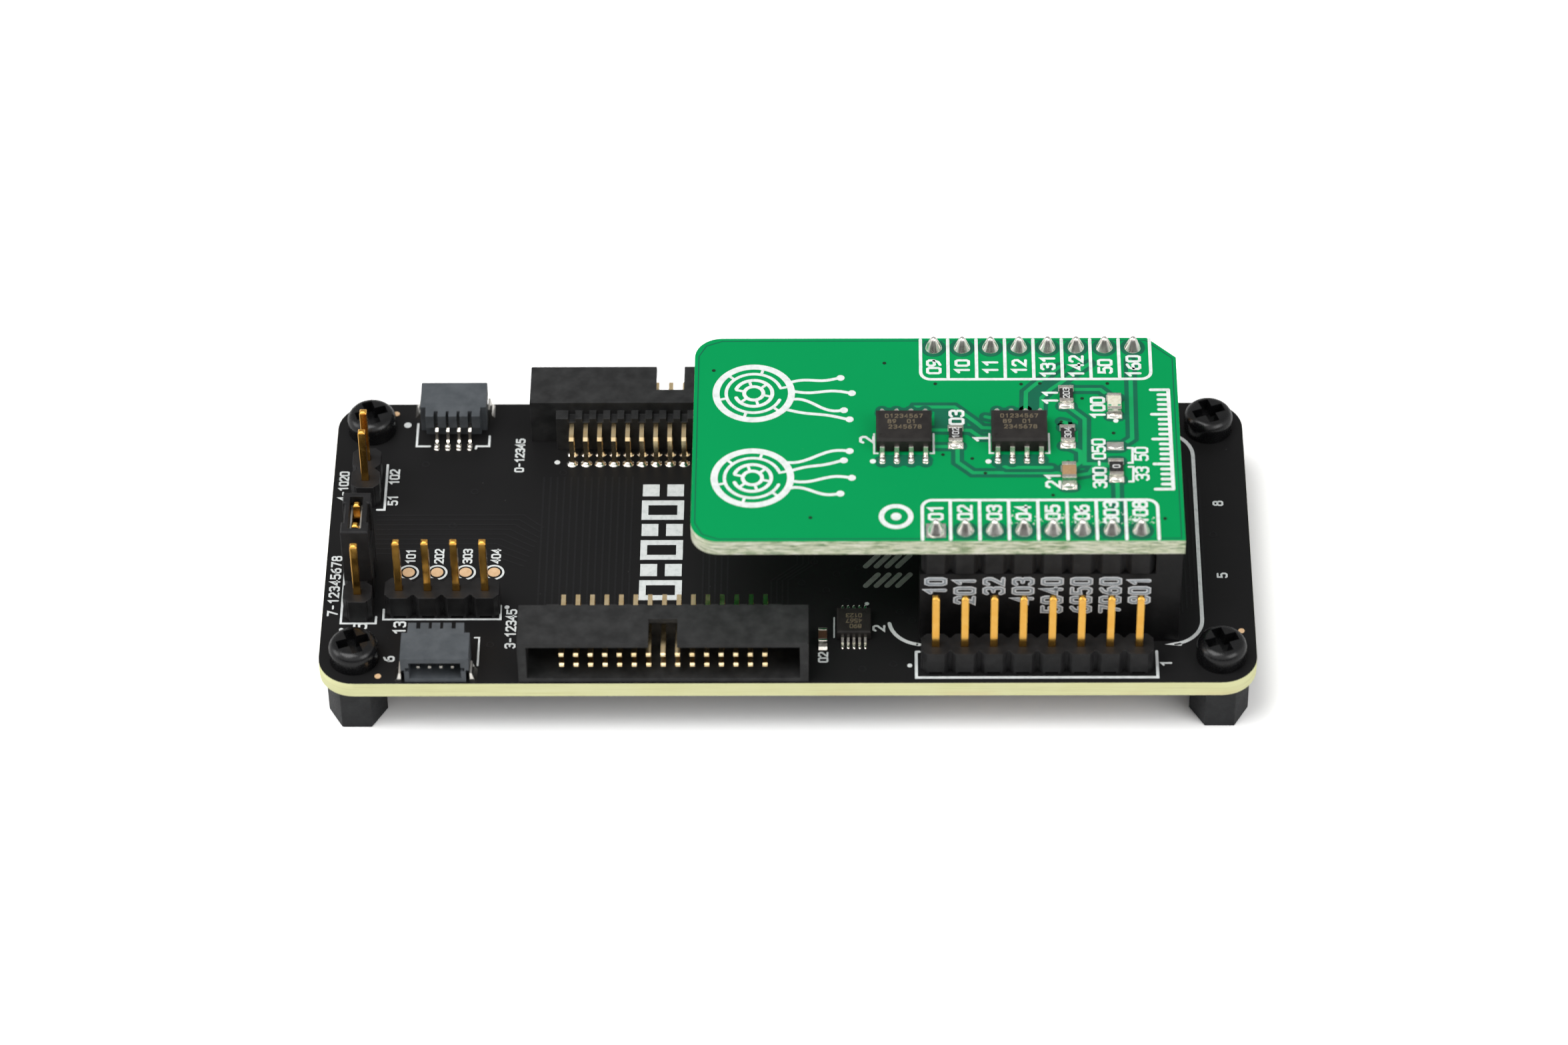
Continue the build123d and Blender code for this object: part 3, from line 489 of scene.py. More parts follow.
class Art:
    """Thin closed prisms collected into one mesh: ribbons, discs, rings and plates."""

    def __init__(self, low, high, place=lambda x, y, z: (x, y, z)):
        self.shell = bmesh.new()
        self.low, self.high, self.lift = low, high, 0.0
        self.count = 0
        self.place = place

    def _next(self):
        """Overlapping strokes each get their own height."""
        self.count += 1
        self.lift = LIFT * (self.count % LIFT_CYCLE)

    def _verts(self, points, top):
        z = self.high + self.lift if top else self.low - self.lift
        placed = [self.place(x, y, z) for x, y in points]
        return [self.shell.verts.new([c * MILLI for c in point]) for point in placed]

    def polygon(self, points):
        self._next()
        area = sum(p[0] * q[1] - q[0] * p[1] for p, q in zip(points, points[1:] + points[:1]))
        if area < 0:
            points = points[::-1]
        top, bottom = self._verts(points, True), self._verts(points, False)
        self.shell.faces.new(top)
        self.shell.faces.new(bottom[::-1])
        for i in range(len(points)):
            j = (i + 1) % len(points)
            self.shell.faces.new((bottom[i], bottom[j], top[j], top[i]))

    def box(self, x, y, half_x, half_y):
        self.polygon([(x - half_x, y - half_y), (x + half_x, y - half_y),
                      (x + half_x, y + half_y), (x - half_x, y + half_y)])

    def disc(self, x, y, radius, count=20):
        self.polygon(arc(x, y, radius, 0, 360, count)[:-1])

    def circle(self, x, y, radius, width, count=32):
        self.line(arc(x, y, radius, 0, 360, count)[:-1], width, True)

    def line(self, points, width, closed=False):
        """A mitred ribbon; an open one gets round ends."""
        self._next()
        path, count, half = [Vector(p) for p in points], len(points), width / 2
        left, right = [], []
        for i in range(count):
            if closed:
                before = (path[i] - path[i - 1]).normalized()
                after = (path[(i + 1) % count] - path[i]).normalized()
            else:
                before = (path[i] - path[i - 1] if i else path[1] - path[0]).normalized()
                after = (path[i + 1] - path[i]).normalized() if i < count - 1 else before
            along = (before + after).normalized()
            across = Vector((-along.y, along.x))
            mitre = max(0.45, across.dot(Vector((-after.y, after.x))))
            left.append(path[i] + across * (half / mitre))
            right.append(path[i] - across * (half / mitre))
        left_top, right_top = self._verts(left, True), self._verts(right, True)
        left_low, right_low = self._verts(left, False), self._verts(right, False)
        face = self.shell.faces.new
        for i in range(count if closed else count - 1):
            j = (i + 1) % count
            face((right_top[i], right_top[j], left_top[j], left_top[i]))
            face((left_low[i], left_low[j], right_low[j], right_low[i]))
            face((left_top[i], left_top[j], left_low[j], left_low[i]))
            face((right_low[i], right_low[j], right_top[j], right_top[i]))
        if closed:
            return
        for end in (0, -1):
            out = (path[-1] - path[-2] if end else path[0] - path[1]).normalized()
            side = Vector((-out.y, out.x))
            cap = [path[end] + side * (half * math.cos(math.pi * k / 6))
                   + out * (half * math.sin(math.pi * k / 6)) for k in range(1, 6)]
            cap_top, cap_low = self._verts(cap, True), self._verts(cap, False)
            if end:
                top = [left_top[-1]] + cap_top + [right_top[-1]]
                low = [left_low[-1]] + cap_low + [right_low[-1]]
            else:
                top = [right_top[0]] + cap_top + [left_top[0]]
                low = [right_low[0]] + cap_low + [left_low[0]]
            face(top[::-1])
            face(low)
            for i in range(len(top) - 1):
                face((top[i], top[i + 1], low[i + 1], low[i]))

    def number(self, text, x, y, height, width, step=0.86, wide=1.0, turn=90):
        """Numerals centred on (x, y); anything without a glyph leaves a gap."""
        cos, sin = math.cos(math.radians(turn)), math.sin(math.radians(turn))
        size = height * wide
        total = ((len(text) - 1) * step + GLYPH_WIDTH) * size
        for i, char in enumerate(text):
            for points, closed in GLYPHS.get(char, ()):
                turned = []
                for u, v in points:
                    along = (i * step + u) * size - total / 2
                    rise = (v - 0.5) * height
                    turned.append((x + cos * along - sin * rise, y + sin * along + cos * rise))
                self.line(turned, width, closed)

    def draw(self, rows):
        """Rows of a method's name and its arguments."""
        for kind, *values in rows:
            getattr(self, kind)(*values)

    def finish(self, name, key, body):
        return add_mesh(name, self.shell, MATS[key], body)


def art_above(surface, height=INK, embed=EMBED):
    return Art(surface - embed, surface + height)


def art_below(surface, height):
    return Art(surface - height, surface + EMBED)


def lathe(shell, x, y, base, profile, count, wobble, seed):
    """Closed turned shape; profile rows are radius and height above base."""
    rings = []
    for radius, rise in profile:
        ring = []
        for i in range(count):
            t = 2 * math.pi * i / count
            spread = radius * (1 + wobble * math.sin(3 * t + seed) * 0.5
                               + wobble * 0.4 * math.sin(5 * t + 1.7 * seed))
            ring.append(shell.verts.new(((x + spread * math.cos(t)) * MILLI,
                                         (y + spread * math.sin(t)) * MILLI,
                                         (base + rise) * MILLI)))
        rings.append(ring)
    for lower, upper in zip(rings, rings[1:]):
        for i in range(count):
            j = (i + 1) % count
            shell.faces.new((lower[i], lower[j], upper[j], upper[i]))
    shell.faces.new(rings[0][::-1])
    shell.faces.new(rings[-1])


def blob(shell, x, y, z, size, seed, count=14, bands=8):
    """A flattened, slightly lumpy solder bead; size holds its x, y and z radii."""
    size_x, size_y, size_z = size
    rings = []
    for k in range(1, bands):
        tilt = math.pi * k / bands
        ring = []
        for i in range(count):
            t = 2 * math.pi * i / count
            lump = 1 + 0.06 * math.sin(2 * t + seed) + 0.05 * math.sin(3 * t + 2 * seed + tilt)
            ring.append(shell.verts.new((
                (x + size_x * lump * math.sin(tilt) * math.cos(t)) * MILLI,
                (y + size_y * lump * math.sin(tilt) * math.sin(t)) * MILLI,
                (z + size_z * math.cos(tilt)) * MILLI)))
        rings.append(ring)
    top = shell.verts.new((x * MILLI, y * MILLI, (z + size_z) * MILLI))
    bottom = shell.verts.new((x * MILLI, y * MILLI, (z - size_z) * MILLI))
    for i in range(count):
        j = (i + 1) % count
        shell.faces.new((top, rings[0][i], rings[0][j]))
        shell.faces.new((bottom, rings[-1][j], rings[-1][i]))
        for upper, lower in zip(rings, rings[1:]):
            shell.faces.new((upper[i], lower[i], lower[j], upper[j]))


# ------------------------------------------------------- carrier, upper face
# Print tables, in drawing order. Rows are
#   "line", points, width
#   "disc", x, y, radius
#   "number", text, x, y, height, line width, and a step between numerals if not 0.86
CARRIER_FRONT_PRINT = [
    ("line", [(-35.82, -8.5), (-35.8, -9.72), (-25.42, -9.72), (-25.45, -8.05)], 0.2),
    ("line", [(-39.55, -3.2), (-39.55, -10.2), (-36.45, -10.2), (-36.45, -9.4)], 0.2),
    ("disc", -39.45, -10.95, 0.2),
    ("number", "15", -37.8, -11.0, 1.05, 0.2),
    ("number", "13", -34.3, -10.75, 0.95, 0.19),
    ("number", "7-12345678", -40.35, -5.6, 0.80, 0.17, 0.94),
    ("disc", -24.9, -8.25, 0.22),
    ("number", "3-12345", -24.45, -10.9, 0.80, 0.17),
    ("number", "6", -35.05, -14.5, 0.85, 0.18),
    ("line", [(-27.6, -11.95), (-27.2, -11.95), (-27.2, -15.3)], 0.17),
]
CARRIER_REAR_PRINT = [
    ("line", [(-33.95, 14.9), (-33.95, 12.0), (-32.75, 12.0)], 0.2),
    ("line", [(-27.35, 13.3), (-27.35, 12.0), (-28.5, 12.0), (-28.55, 11.7)], 0.2),
    ("disc", -34.9, 14.75, 0.34),
    ("line", [(-36.45, 9.6), (-36.45, 3.9), (-37.1, 3.9)], 0.22),
    ("number", "102", -35.75, 8.05, 0.78, 0.17),
    ("number", "51", -35.75, 5.1, 0.78, 0.17),
    ("number", "4-1020", -40.3, 6.9, 0.74, 0.16),
]
PROBE_FRONT_PRINT = [
    ("line", [(11.32, -13.75), (11.32, -16.85), (32.45, -16.85), (32.45, -13.75)], 0.26),
    ("line", [(11.32, -13.75), (11.6, -13.75)], 0.26),
    ("disc", 10.75, -15.4, 0.22),
    ("number", "1", 33.25, -15.2, 0.85, 0.18),
]
CARRIER_RIGHT_PRINT = [
    ("line", [(11.32, 13.75), (11.32, 16.85), (32.45, 16.85), (32.45, 13.75)], 0.26),
    ("disc", 10.75, 15.4, 0.22),
    ("number", "2", 33.25, 15.2, 0.85, 0.18),
    ("number", "2", 8.05, -10.9, 0.95, 0.2),
    ("number", "02", 3.15, -14.4, 0.75, 0.17),
    ("disc", 7.0, -7.9, 0.2),
    ("line", [(4.1, -9.6), (4.1, -12.0)], 0.12),
    ("number", "0-12345", -24.5, 10.8, 0.72, 0.16),
    ("disc", -21.07, 9.9, 0.26),
    ("number", "5", 38.6, -4.5, 0.8, 0.17),
    ("number", "8", 38.6, 4.5, 0.8, 0.17),
]


def addon_outline(art):
    """Rounded outline of the add-on, broken where the probe headers stand."""
    left, right, front, rear, radius, width = 8.95, 36.6, -12.9, 13.6, 3.0, 0.34
    corner = arc(left + radius, front + radius, radius, 188, 269, 9)
    art.line(corner + [(11.5, front)], width)
    corners = (arc(right - radius, front + radius, radius, 270, 360, 10)
               + arc(right - radius, rear - radius, radius, 0, 90, 10))
    art.line([(34.55, front)] + corners + [(34.55, rear)], width)


def carrier_tiles(art):
    """A row of open tiles alternating with pairs of solid ones."""
    for i, y in enumerate(steps(-6.2, 2.5, 6)):
        if i % 2 == 0:
            art.line([(-12.95, y - 0.92), (-9.75, y - 0.92), (-9.75, y + 0.92),
                      (-12.95, y + 0.92)], 0.6, True)
        else:
            for x in (-12.45, -10.25):
                art.box(x, y, 0.75, 0.75)


def carrier_silkscreen():
    art = art_above(BASE_TOP)
    art.draw(CARRIER_FRONT_PRINT)
    for i, text in enumerate(("101", "202", "303", "404")):
        art.number(text, -33.75 + PITCH * i, -1.95, 0.72, 0.16)
        art.circle(-33.85 + PITCH * i, -3.95, 0.83, 0.19, 28)
    art.draw(CARRIER_REAR_PRINT)
    art.draw(PROBE_FRONT_PRINT)
    addon_outline(art)
    art.draw(CARRIER_RIGHT_PRINT)
    carrier_tiles(art)
    art.finish("carrier_silkscreen", "ink_carrier", CARRIER)


def carrier_hatch():
    """Two rows of grey diagonal strokes."""
    art = art_above(BASE_TOP, height=0.014)
    for x in steps(6.9, 0.95, 4):
        for y in (-5.7, -3.3):
            art.line([(x, y), (x + 1.1, y + 1.4)], 0.5)
    art.finish("carrier_hatch", "ink_grey", CARRIER)


CARRIER_VIAS = [
    (3.4, -6.2), (4.3, -4.2), (2.3, -2.7), (5.2, -7.6), (6.3, -3.4), (1.2, -5.3), (4.6, -8.6),
    (9.9, -8.9), (11.0, -9.9), (-5.0, -12.0), (9.3, -15.2), (6.6, -15.8), (-26.2, -12.8),
    (-26.9, -5.6), (-30.2, 1.9), (-20.5, 8.6), (-28.4, 6.2), (-33.0, 9.7), (38.0, 0.6),
    (35.6, -6.2)]


def carrier_tracks():
    """Bundles of parallel tracks, then vias."""
    art = art_above(BASE_TOP, height=0.004)
    for i, x in enumerate(steps(-22.2, 0.62, 14)):
        art.line([(x, 8.0), (x, -8.2 + 0.18 * (i % 3))], 0.16)
    for i, y in enumerate(steps(-1.6, 0.6, 9)):
        art.line([(-37.0, y), (-27.0 + 0.4 * i, y), (-23.6 + 0.2 * i, y - 1.6)], 0.14)
    for i, x in enumerate(steps(34.9, 0.42, 6)):
        art.line([(x, -9.0 + 0.5 * i), (x, 9.5 - 0.6 * i)], 0.14)
    for x in steps(-7.6, 0.55, 5):
        art.line([(x, -8.4), (x, 2.0), (x + 1.6, 4.2), (x + 1.6, 9.0)], 0.16)
    for x in steps(-1.5, 0.5, 4):
        art.line([(x, -8.6), (x, -5.0), (x + 2.3, -3.0), (x + 2.3, 5.0)], 0.15)
    for x, y in CARRIER_VIAS:
        art.circle(x, y, 0.3, 0.11, 16)
    art.finish("carrier_tracks", "faint_black", CARRIER)


# radius, height above the carrier
FINE_JOINT_PROFILE = [(0.53, -0.02), (0.53, 0.03), (0.44, 0.07), (0.33, 0.16), (0.285, 0.30)]


def carrier_top_solder():
    """Joints of the fine-pitch headers, and beads on the bus socket leads."""
    shell = bmesh.new()
    for side in (-1, 1):
        for row in FINE_ROWS:
            for i, x in enumerate(FINE_COLUMNS):
                lathe(shell, x, side * row, BASE_TOP, FINE_JOINT_PROFILE,
                      count=16, wobble=0.05, seed=i)
    for x, side in ((-30.8, -1), (-30.6, 1)):
        for k, offset in enumerate((-1.5, -0.5, 0.5, 1.5)):
            blob(shell, x + offset, side * 12.05, BASE_TOP + 0.10, (0.27, 0.42, 0.20), seed=k)
            blob(shell, x + offset, side * 11.65, BASE_TOP + 0.06, (0.26, 0.30, 0.13),
                 seed=k + 2)
    add_mesh("carrier_top_solder", shell, MATS["solder"], CARRIER, smooth=True)


def level_shifter_solder():
    shell = bmesh.new()
    for k, x in enumerate(steps(SHIFTER_X - 1.0, 0.5, 5)):
        for side in (-1, 1):
            blob(shell, x, SHIFTER_Y + side * 2.42, BASE_TOP + 0.06, (0.15, 0.30, 0.13),
                 seed=k, count=10, bands=6)
    add_mesh("level_shifter_solder", shell, MATS["solder"], CARRIER, smooth=True)


# -------------------------------------------------------- carrier, underside
def carrier_under_rings():
    """Bare metal round the through holes and the screw holes."""
    art = art_below(BASE_UNDER, height=0.012)
    holes = [(x, -8.3) for x in steps(-34.35, PITCH, 4)]
    holes += [(x, side * 15.2) for side in (-1, 1) for x in COLUMNS]
    holes += [(-38.0, y) for y in steps(-8.75, PITCH, 3)]
    holes += [(-38.1, y) for y in steps(5.46, PITCH, 2)]
    for x, y in holes + JOINTS:
        art.circle(x, y, 0.84, 0.14, 24)
    for side in (-1, 1):
        for row in FINE_ROWS:
            for x in FINE_COLUMNS:
                art.circle(x, side * row, 0.5, 0.08, 16)
    for x in (-38.1, 38.1):
        for y in (-14.3, 14.3):
            art.circle(x, y, 2.75, 0.2)
    art.finish("carrier_under_rings", "copper", CARRIER)


CARRIER_UNDER_VIAS = [(-30, -3), (-28, 4), (-5, 5.5), (4, -5.5), (9, 6), (22, -6.2),
                      (27, 5.9), (33, 0), (-16, -4.4)]


def carrier_under_tracks():
    art = art_below(BASE_UNDER, height=0.010)
    for i, x in enumerate(steps(-24.0, 2.9, 16)):
        art.line([(x, -8.0), (x, -2.0 + 0.3 * (i % 4)), (x + 1.5, 0.5), (x + 1.5, 8.4)], 0.2)
    for x, y in CARRIER_UNDER_VIAS:
        art.circle(x, y, 0.3, 0.12, 16)
    art.finish("carrier_under_tracks", "faint_black", CARRIER)


def carrier_under_silkscreen():
    """Brackets round the header rows, open towards the middle of the board."""
    art = art_below(BASE_UNDER, height=INK)
    for left, right, near, far in ((11.3, 32.5, 13.6, 16.8), (-20.6, -1.0, 8.8, 12.2)):
        for side in (-1, 1):
            art.line([(left, side * near), (left, side * far), (right, side * far),
                      (right, side * near)], 0.22)
    art.finish("carrier_under_silkscreen", "ink_carrier", CARRIER)


# ------------------------------------------------------ socket face numerals
def socket_numerals(name, key, high, width):
    """Numerals on the front socket's front face, hung from one height."""
    height, glyph_scale, step = 1.60, 1.12, 1.04
    # art x runs along the row, art y upwards and art z out of the face
    art = Art(-0.01, high, lambda x, y, z: (x, SOCKET_FACE_Y - z, y))
    texts = ("10", "201", "32", "403", "5040", "6050", "7060", "801")
    for x, text in zip(COLUMNS, texts):
        length = ((len(text) - 1) * step + GLYPH_WIDTH) * glyph_scale
        art.number(text, x, BASE_TOP + 7.95 - length / 2, height, width, step,
                   glyph_scale / height)
    art.finish(name, key, CARRIER)


# ------------------------------------------------------------ add-on copper art
ADDON_TRACKS = [
    [(10.99, 3.52), (11.3, 4.1), (14.75, 4.09), (16.66, 2.13), (17.2, 1.48), (18.1, 1.44)],
    [(12.6, 1.21), (16.14, 1.15), (17.03, 0.26), (18.1, 0.23)],
    [(12.6, -0.87), (14.5, -0.88)],
    [(14.99, -1.2), (14.97, -2.81), (16.31, -4.13), (22.17, -4.15), (24.2, -4.18)],
    [(21.04, 3.2), (21.14, 5.96), (21.83, 6.76), (24.2, 9.2)],
    [(30.5, 10.0), (30.37, 0.08), (29.4, -0.8)],
    [(25.3, 6.28), (27.73, 6.27), (28.6, 5.3)],
    [(25.0, 3.9), (26.25, 2.54), (26.1, -3.05), (28.3, -3.1)],
    [(25.2, -4.54), (26.47, -4.26), (26.85, -3.5), (28.3, -3.3)],
    [(28.9, -5.2), (28.84, -9.9)],
    [(22.45, 3.2), (22.51, 5.23), (23.36, 6.31), (26.9, 9.6)],
    [(24.17, 2.25), (24.57, 2.11), (24.7, 1.3)],
    [(24.78, -0.9), (25.75, -1.5), (25.75, -2.9), (24.9, -3.6)],
    [(17.5, 2.85), (18.4, 2.6), (18.5, 2.2)],
    [(18.5, -2.9), (19.3, -3.5), (23.2, -3.5)],
]
CLEARANCE_PATCHES = [
    [(13.0, 3.5), (14.6, 3.5), (15.9, 2.4), (15.9, 1.75), (13.0, 1.71)],
    [(21.62, 3.2), (22.45, 3.2), (22.50, 5.75), (24.1, 7.45), (23.0, 7.45), (21.62, 6.05)],
]
ADDON_RIM = [(-5.9, -12.18), (34.25, -12.18), (34.25, 10.25), (31.95, 12.55), (-5.9, 12.55),
             (-7.3, 11.95), (-7.95, 10.6), (-7.95, -10.2), (-7.3, -11.6)]
ADDON_VIAS = [
    (13.11, 7.04), (20.73, 6.98), (17.5, 2.85), (13.7, -1.88), (16.27, -2.37),
    (17.39, -4.18), (22.4, 7.05), (28.39, 7.03), (26.1, 5.14), (24.17, 2.21), (28.75, 0.77),
    (24.67, -2.79), (23.25, -6.91), (2.1, -9.6), (-6.6, 8.8), (8.6, 9.7), (32.9, -9.8)]


def addon_clearances():
    """Dark margins round tracks, pads and the board's rim."""
    art = art_above(ADDON_TOP, height=0.006)
    for points in ADDON_TRACKS:
        art.line(points, 1.16)
    for points in CLEARANCE_PATCHES:
        art.polygon(points)
    for x, side in CHIP_SIDES:
        row_y = CHIP_Y + side * 2.95
        art.line([(x + LEADS[0], row_y), (x + LEADS[-1], row_y)], 1.35)
        for lead in LEADS:
            art.disc(x + lead, CHIP_Y + side * 3.25, 0.62, 18)
    for x, y, _ in SMALL_PARTS:
        for side in (-1, 1):
            art.line([(x - 0.35, y + side * 1.15), (x + 0.35, y + side * 1.15)], 1.35)
    art.line([(BRIDGE_X - 0.4, BRIDGE_Y), (BRIDGE_X + 0.4, BRIDGE_Y)], 1.6)
    for x, y in JOINTS:
        art.disc(x, y, 1.12, 24)
    art.line(ADDON_RIM, 0.10, True)
    art.finish("addon_clearances", "dark_green", ADDON)


def addon_tracks():
    art = art_above(ADDON_TOP, height=0.010)
    for points in ADDON_TRACKS:
        art.line(points, 0.38)
    art.finish("addon_tracks", "light_green", ADDON)


def addon_vias():
    art = art_above(ADDON_TOP, height=0.013)
    for x, y in ADDON_VIAS:
        art.disc(x, y, 0.17, 14)
    art.finish("addon_vias", "via", ADDON)


# --------------------------------------------------------- add-on silkscreen
def pin_table(art, inner_y, outer_y, side):
    """Rounded inner corners, open towards the board's front (-1) or rear (1) edge."""
    left, right, radius, width = 11.83, 32.3, 0.9, 0.30
    y = inner_y + side * radius
    art.line([(left, outer_y)] + arc(left + radius, y, radius, 180, 180 + side * 90, 6)
             + arc(right - radius, y, radius, -side * 90, 0, 6) + [(right, outer_y)], width)
    for x in COLUMNS[:-1]:
        divider = x + HALF_PITCH
        art.line([(divider, inner_y), (divider, outer_y)], width)


# rows as in the carrier's print tables
ADDON_PRINT = [
    ("number", "03", 14.95, 2.75, 1.15, 0.26),
    ("number", "2", 7.05, 0.0, 1.15, 0.26),
    ("number", "1", 17.1, 0.1, 1.15, 0.26),
    ("number", "11", 23.3, 5.3, 1.15, 0.26),
    ("number", "100", 27.45, 3.95, 1.1, 0.26),
    ("number", "21", 23.3, -5.1, 1.15, 0.26),
    ("number", "300-050", 27.38, -3.0, 1.05, 0.22, 0.84),
    ("number", "50", 31.1, -1.85, 1.05, 0.22),
    ("number", "33", 31.1, -4.3, 1.05, 0.22),
    ("line", [(29.95, -1.1), (30.36, -1.12), (30.3, -2.95), (29.95, -2.97)], 0.22),
    ("line", [(29.95, -3.45), (30.36, -3.47), (30.3, -5.25), (29.95, -5.27)], 0.22),
    ("disc", 7.55, -2.7, 0.27),
    ("disc", 17.68, -2.75, 0.27),
    ("disc", 29.0, 2.3, 0.24),
]


def ruler(art):
    x = 33.75
    for i, y in enumerate(steps(-6.2, 0.62, 21)):
        art.line([(x, y), (32.2 if i % 5 == 0 else 32.85, y)], 0.32)
    art.line([(x, -6.2), (x, 6.2)], 0.34)


def ripple(art, side):
    """Rings with spokes between them, and four wavy tracks running right to dots."""
    x, y, rim = -3.0, 0.57 + side * 5.3, 3.35
    art.circle(x, y, rim, 0.62, 56)
    art.line(arc(x, y, 2.45, 20, 340, 44), 0.30)
    art.line(arc(x, y, 1.65, 200, 520, 36), 0.34)
    art.circle(x, y, 0.85, 0.34, 24)
    for k in range(12):
        t = 2 * math.pi * (k + 0.5) / 12
        inner, outer = (2.45, 3.2) if k % 2 == 0 else (0.95, 1.6)
        art.line([(x + r * math.cos(t), y + r * math.sin(t)) for r in (inner, outer)], 0.26)
    # start and end offsets before scaling, end x
    waves = ((-3.6, -4.6, 5.4), (-1.5, -3.0, 4.9), (0.6, 0.0, 5.6), (2.4, 2.7, 4.6))
    for k, (start, end, end_x) in enumerate(waves):
        start_y = y + side * (start * 0.55)
        end_y = y + side * (end * 0.72)
        start_x = x + math.sqrt(rim ** 2 - (start_y - y) ** 2) - 0.1
        sway = 0.22 if k % 2 else -0.22
        points = []
        for i in range(13):
            u = i / 12
            ease = u * u * (3 - 2 * u)
            points.append((start_x + (end_x - start_x) * u,
                           start_y + (end_y - start_y) * ease
                           + sway * math.sin(u * 2 * math.pi)))
        art.line(points, 0.32)
        art.disc(end_x + 0.1, end_y, 0.36, 16)


def addon_silkscreen():
    art = art_above(ADDON_TOP)
    pin_table(art, inner_y=-7.5, outer_y=-12.3, side=-1)
    pin_table(art, inner_y=7.6, outer_y=12.7, side=1)
    for y, texts in ((-9.05, ("01", "02", "03", "04", "05", "06", "303", "108")),
                     (9.2, ("09", "10", "11", "12", "131", "142", "50", "160"))):
        for x, text in zip(COLUMNS, texts):
            art.number(text, x, y, 1.12, 0.26)
    art.draw(ADDON_PRINT)
    for x, side in CHIP_SIDES:
        art.line([(x + side * 2.3, -1.72), (x + side * 2.62, -1.72),
                  (x + side * 2.62, 0.7)], 0.18)
    ruler(art)
    # ring and dot
    art.circle(9.55, -9.5, 1.28, 0.46, 40)
    art.disc(9.55, -9.5, 0.46)
    for side in (-1, 1):
        ripple(art, side)
    art.finish("addon_silkscreen", "ink", ADDON)


# ----------------------------------------------------- add-on pads and solder
# radius, height above the add-on
CONE_PROFILE = [
    (0.80, -0.02), (0.80, 0.05), (0.76, 0.12), (0.70, 0.26), (0.62, 0.42), (0.55, 0.58),
    (0.46, 0.76), (0.37, 0.94), (0.29, 1.10), (0.21, 1.22), (0.12, 1.29), (0.03, 1.30)]


def addon_solder_cones():
    shell = bmesh.new()
    for row, y in enumerate(ROWS):
        for i, x in enumerate(COLUMNS):
            lathe(shell, x, y, ADDON_TOP, CONE_PROFILE, count=32, wobble=0.03,
                  seed=i * 1.3 + row)
    cones = add_mesh("addon_solder_cones", shell, MATS["solder"], ADDON, smooth=True)
    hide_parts("addon_solder_joints")


def addon_pads():
    """A square pad at the first pin, then pads of the chips and small parts."""
    art = art_above(ADDON_TOP, height=0.03)
    art.box(COLUMNS[0], ROWS[0], 0.85, 0.85)
    for x, side in CHIP_SIDES:
        for lead in LEADS:
            art.line([(x + lead, CHIP_Y + side * 2.65), (x + lead, CHIP_Y + side * 3.15)],
                     0.58)
    for x, y, _ in SMALL_PARTS:
        for side in (-1, 1):
            near, far = y + side * 0.7, y + side * 1.5
            art.polygon([(x - 0.68, near), (x + 0.68, near), (x + 0.68, far),
                         (x - 0.68, far)])
    art.finish("addon_pads", "solder", ADDON)


def addon_solder_beads():
    shell = bmesh.new()
    for x, side in CHIP_SIDES:
        for k, lead in enumerate(LEADS):
            blob(shell, x + lead, CHIP_Y + side * 3.02, ADDON_TOP + 0.12,
                 (0.27, 0.34, 0.24), seed=k + x)
            blob(shell, x + lead, CHIP_Y + side * 2.60, ADDON_TOP + 0.10,
                 (0.25, 0.28, 0.20), seed=k + x + 3)
    for i, (x, y, height) in enumerate(SMALL_PARTS):
        for side in (-1, 1):
            blob(shell, x, y + side * 1.16, ADDON_TOP + 0.06, (0.54, 0.24, height * 0.46),
                 seed=i, count=18)
    blob(shell, BRIDGE_X, BRIDGE_Y, ADDON_TOP + 0.10, (0.70, 0.44, 0.13), seed=0.4, count=18)
    add_mesh("addon_solder_beads", shell, MATS["solder"], ADDON, smooth=True)


def scatter(k):
    """A repeatable value from 0 to 1; each use below has its own range of k."""
    value = math.sin(k * 12.9898 + 4.1414) * 43758.5453
    return value - math.floor(value)


def addon_flux_residue():
    """Flecks behind the front row's last five joints."""
    art = art_above(ADDON_TOP, height=0.020)
    for k in range(150):
        x = COLUMNS[3 + int(scatter(k) * 5)] + (scatter(k + 500) - 0.5) * 2.3
        y = ROWS[0] + 0.75 + abs(scatter(k + 900) - scatter(k + 1300)) * 1.9
        radius = 0.035 + 0.10 * scatter(k + 1700) ** 3
        count = 5 + int(scatter(k + 2100) * 3)
        turn = scatter(k + 2500) * math.pi
        points = []
        for i in range(count):
            t = 2 * math.pi * i / count
            reach = radius * (0.6 + 0.7 * scatter(k * 7 + i + 3000))
            u, v = reach * 1.7 * math.cos(t), reach * 0.75 * math.sin(t)
            points.append((x + u * math.cos(turn) - v * math.sin(turn),
                           y + u * math.sin(turn) + v * math.cos(turn)))
        art.polygon(points)
    art.finish("addon_flux_residue", "flux", ADDON)


# --------------------------------------------------------- component markings
def memory_chip_marks():
    art = art_above(top_of("memory_chip_bodies"), **MARK)
    for x in CHIP_XS:
        for text, shift, y in (("01234567", 0, 1.45), ("89  01", -0.2, 0.78),
                               ("2345678", 0.1, 0.10)):
            art.number(text, x + shift, y, 0.42, 0.085, step=1.02, turn=0)
    art.finish("memory_chip_marks", "mark", ADDON)


def resistor_marks():
    art = art_above(top_of("resistor_bodies"), **MARK)
    for (x, y, _), text in zip(SMALL_PARTS, ("102", "203", "304")):
        art.number(text, x, y, 0.52, 0.09)
    x, y, _ = SMALL_PARTS[3]
    art.number("0", x, y, 0.58, 0.10, wide=0.9)
    art.finish("resistor_marks", "mark_white", ADDON)


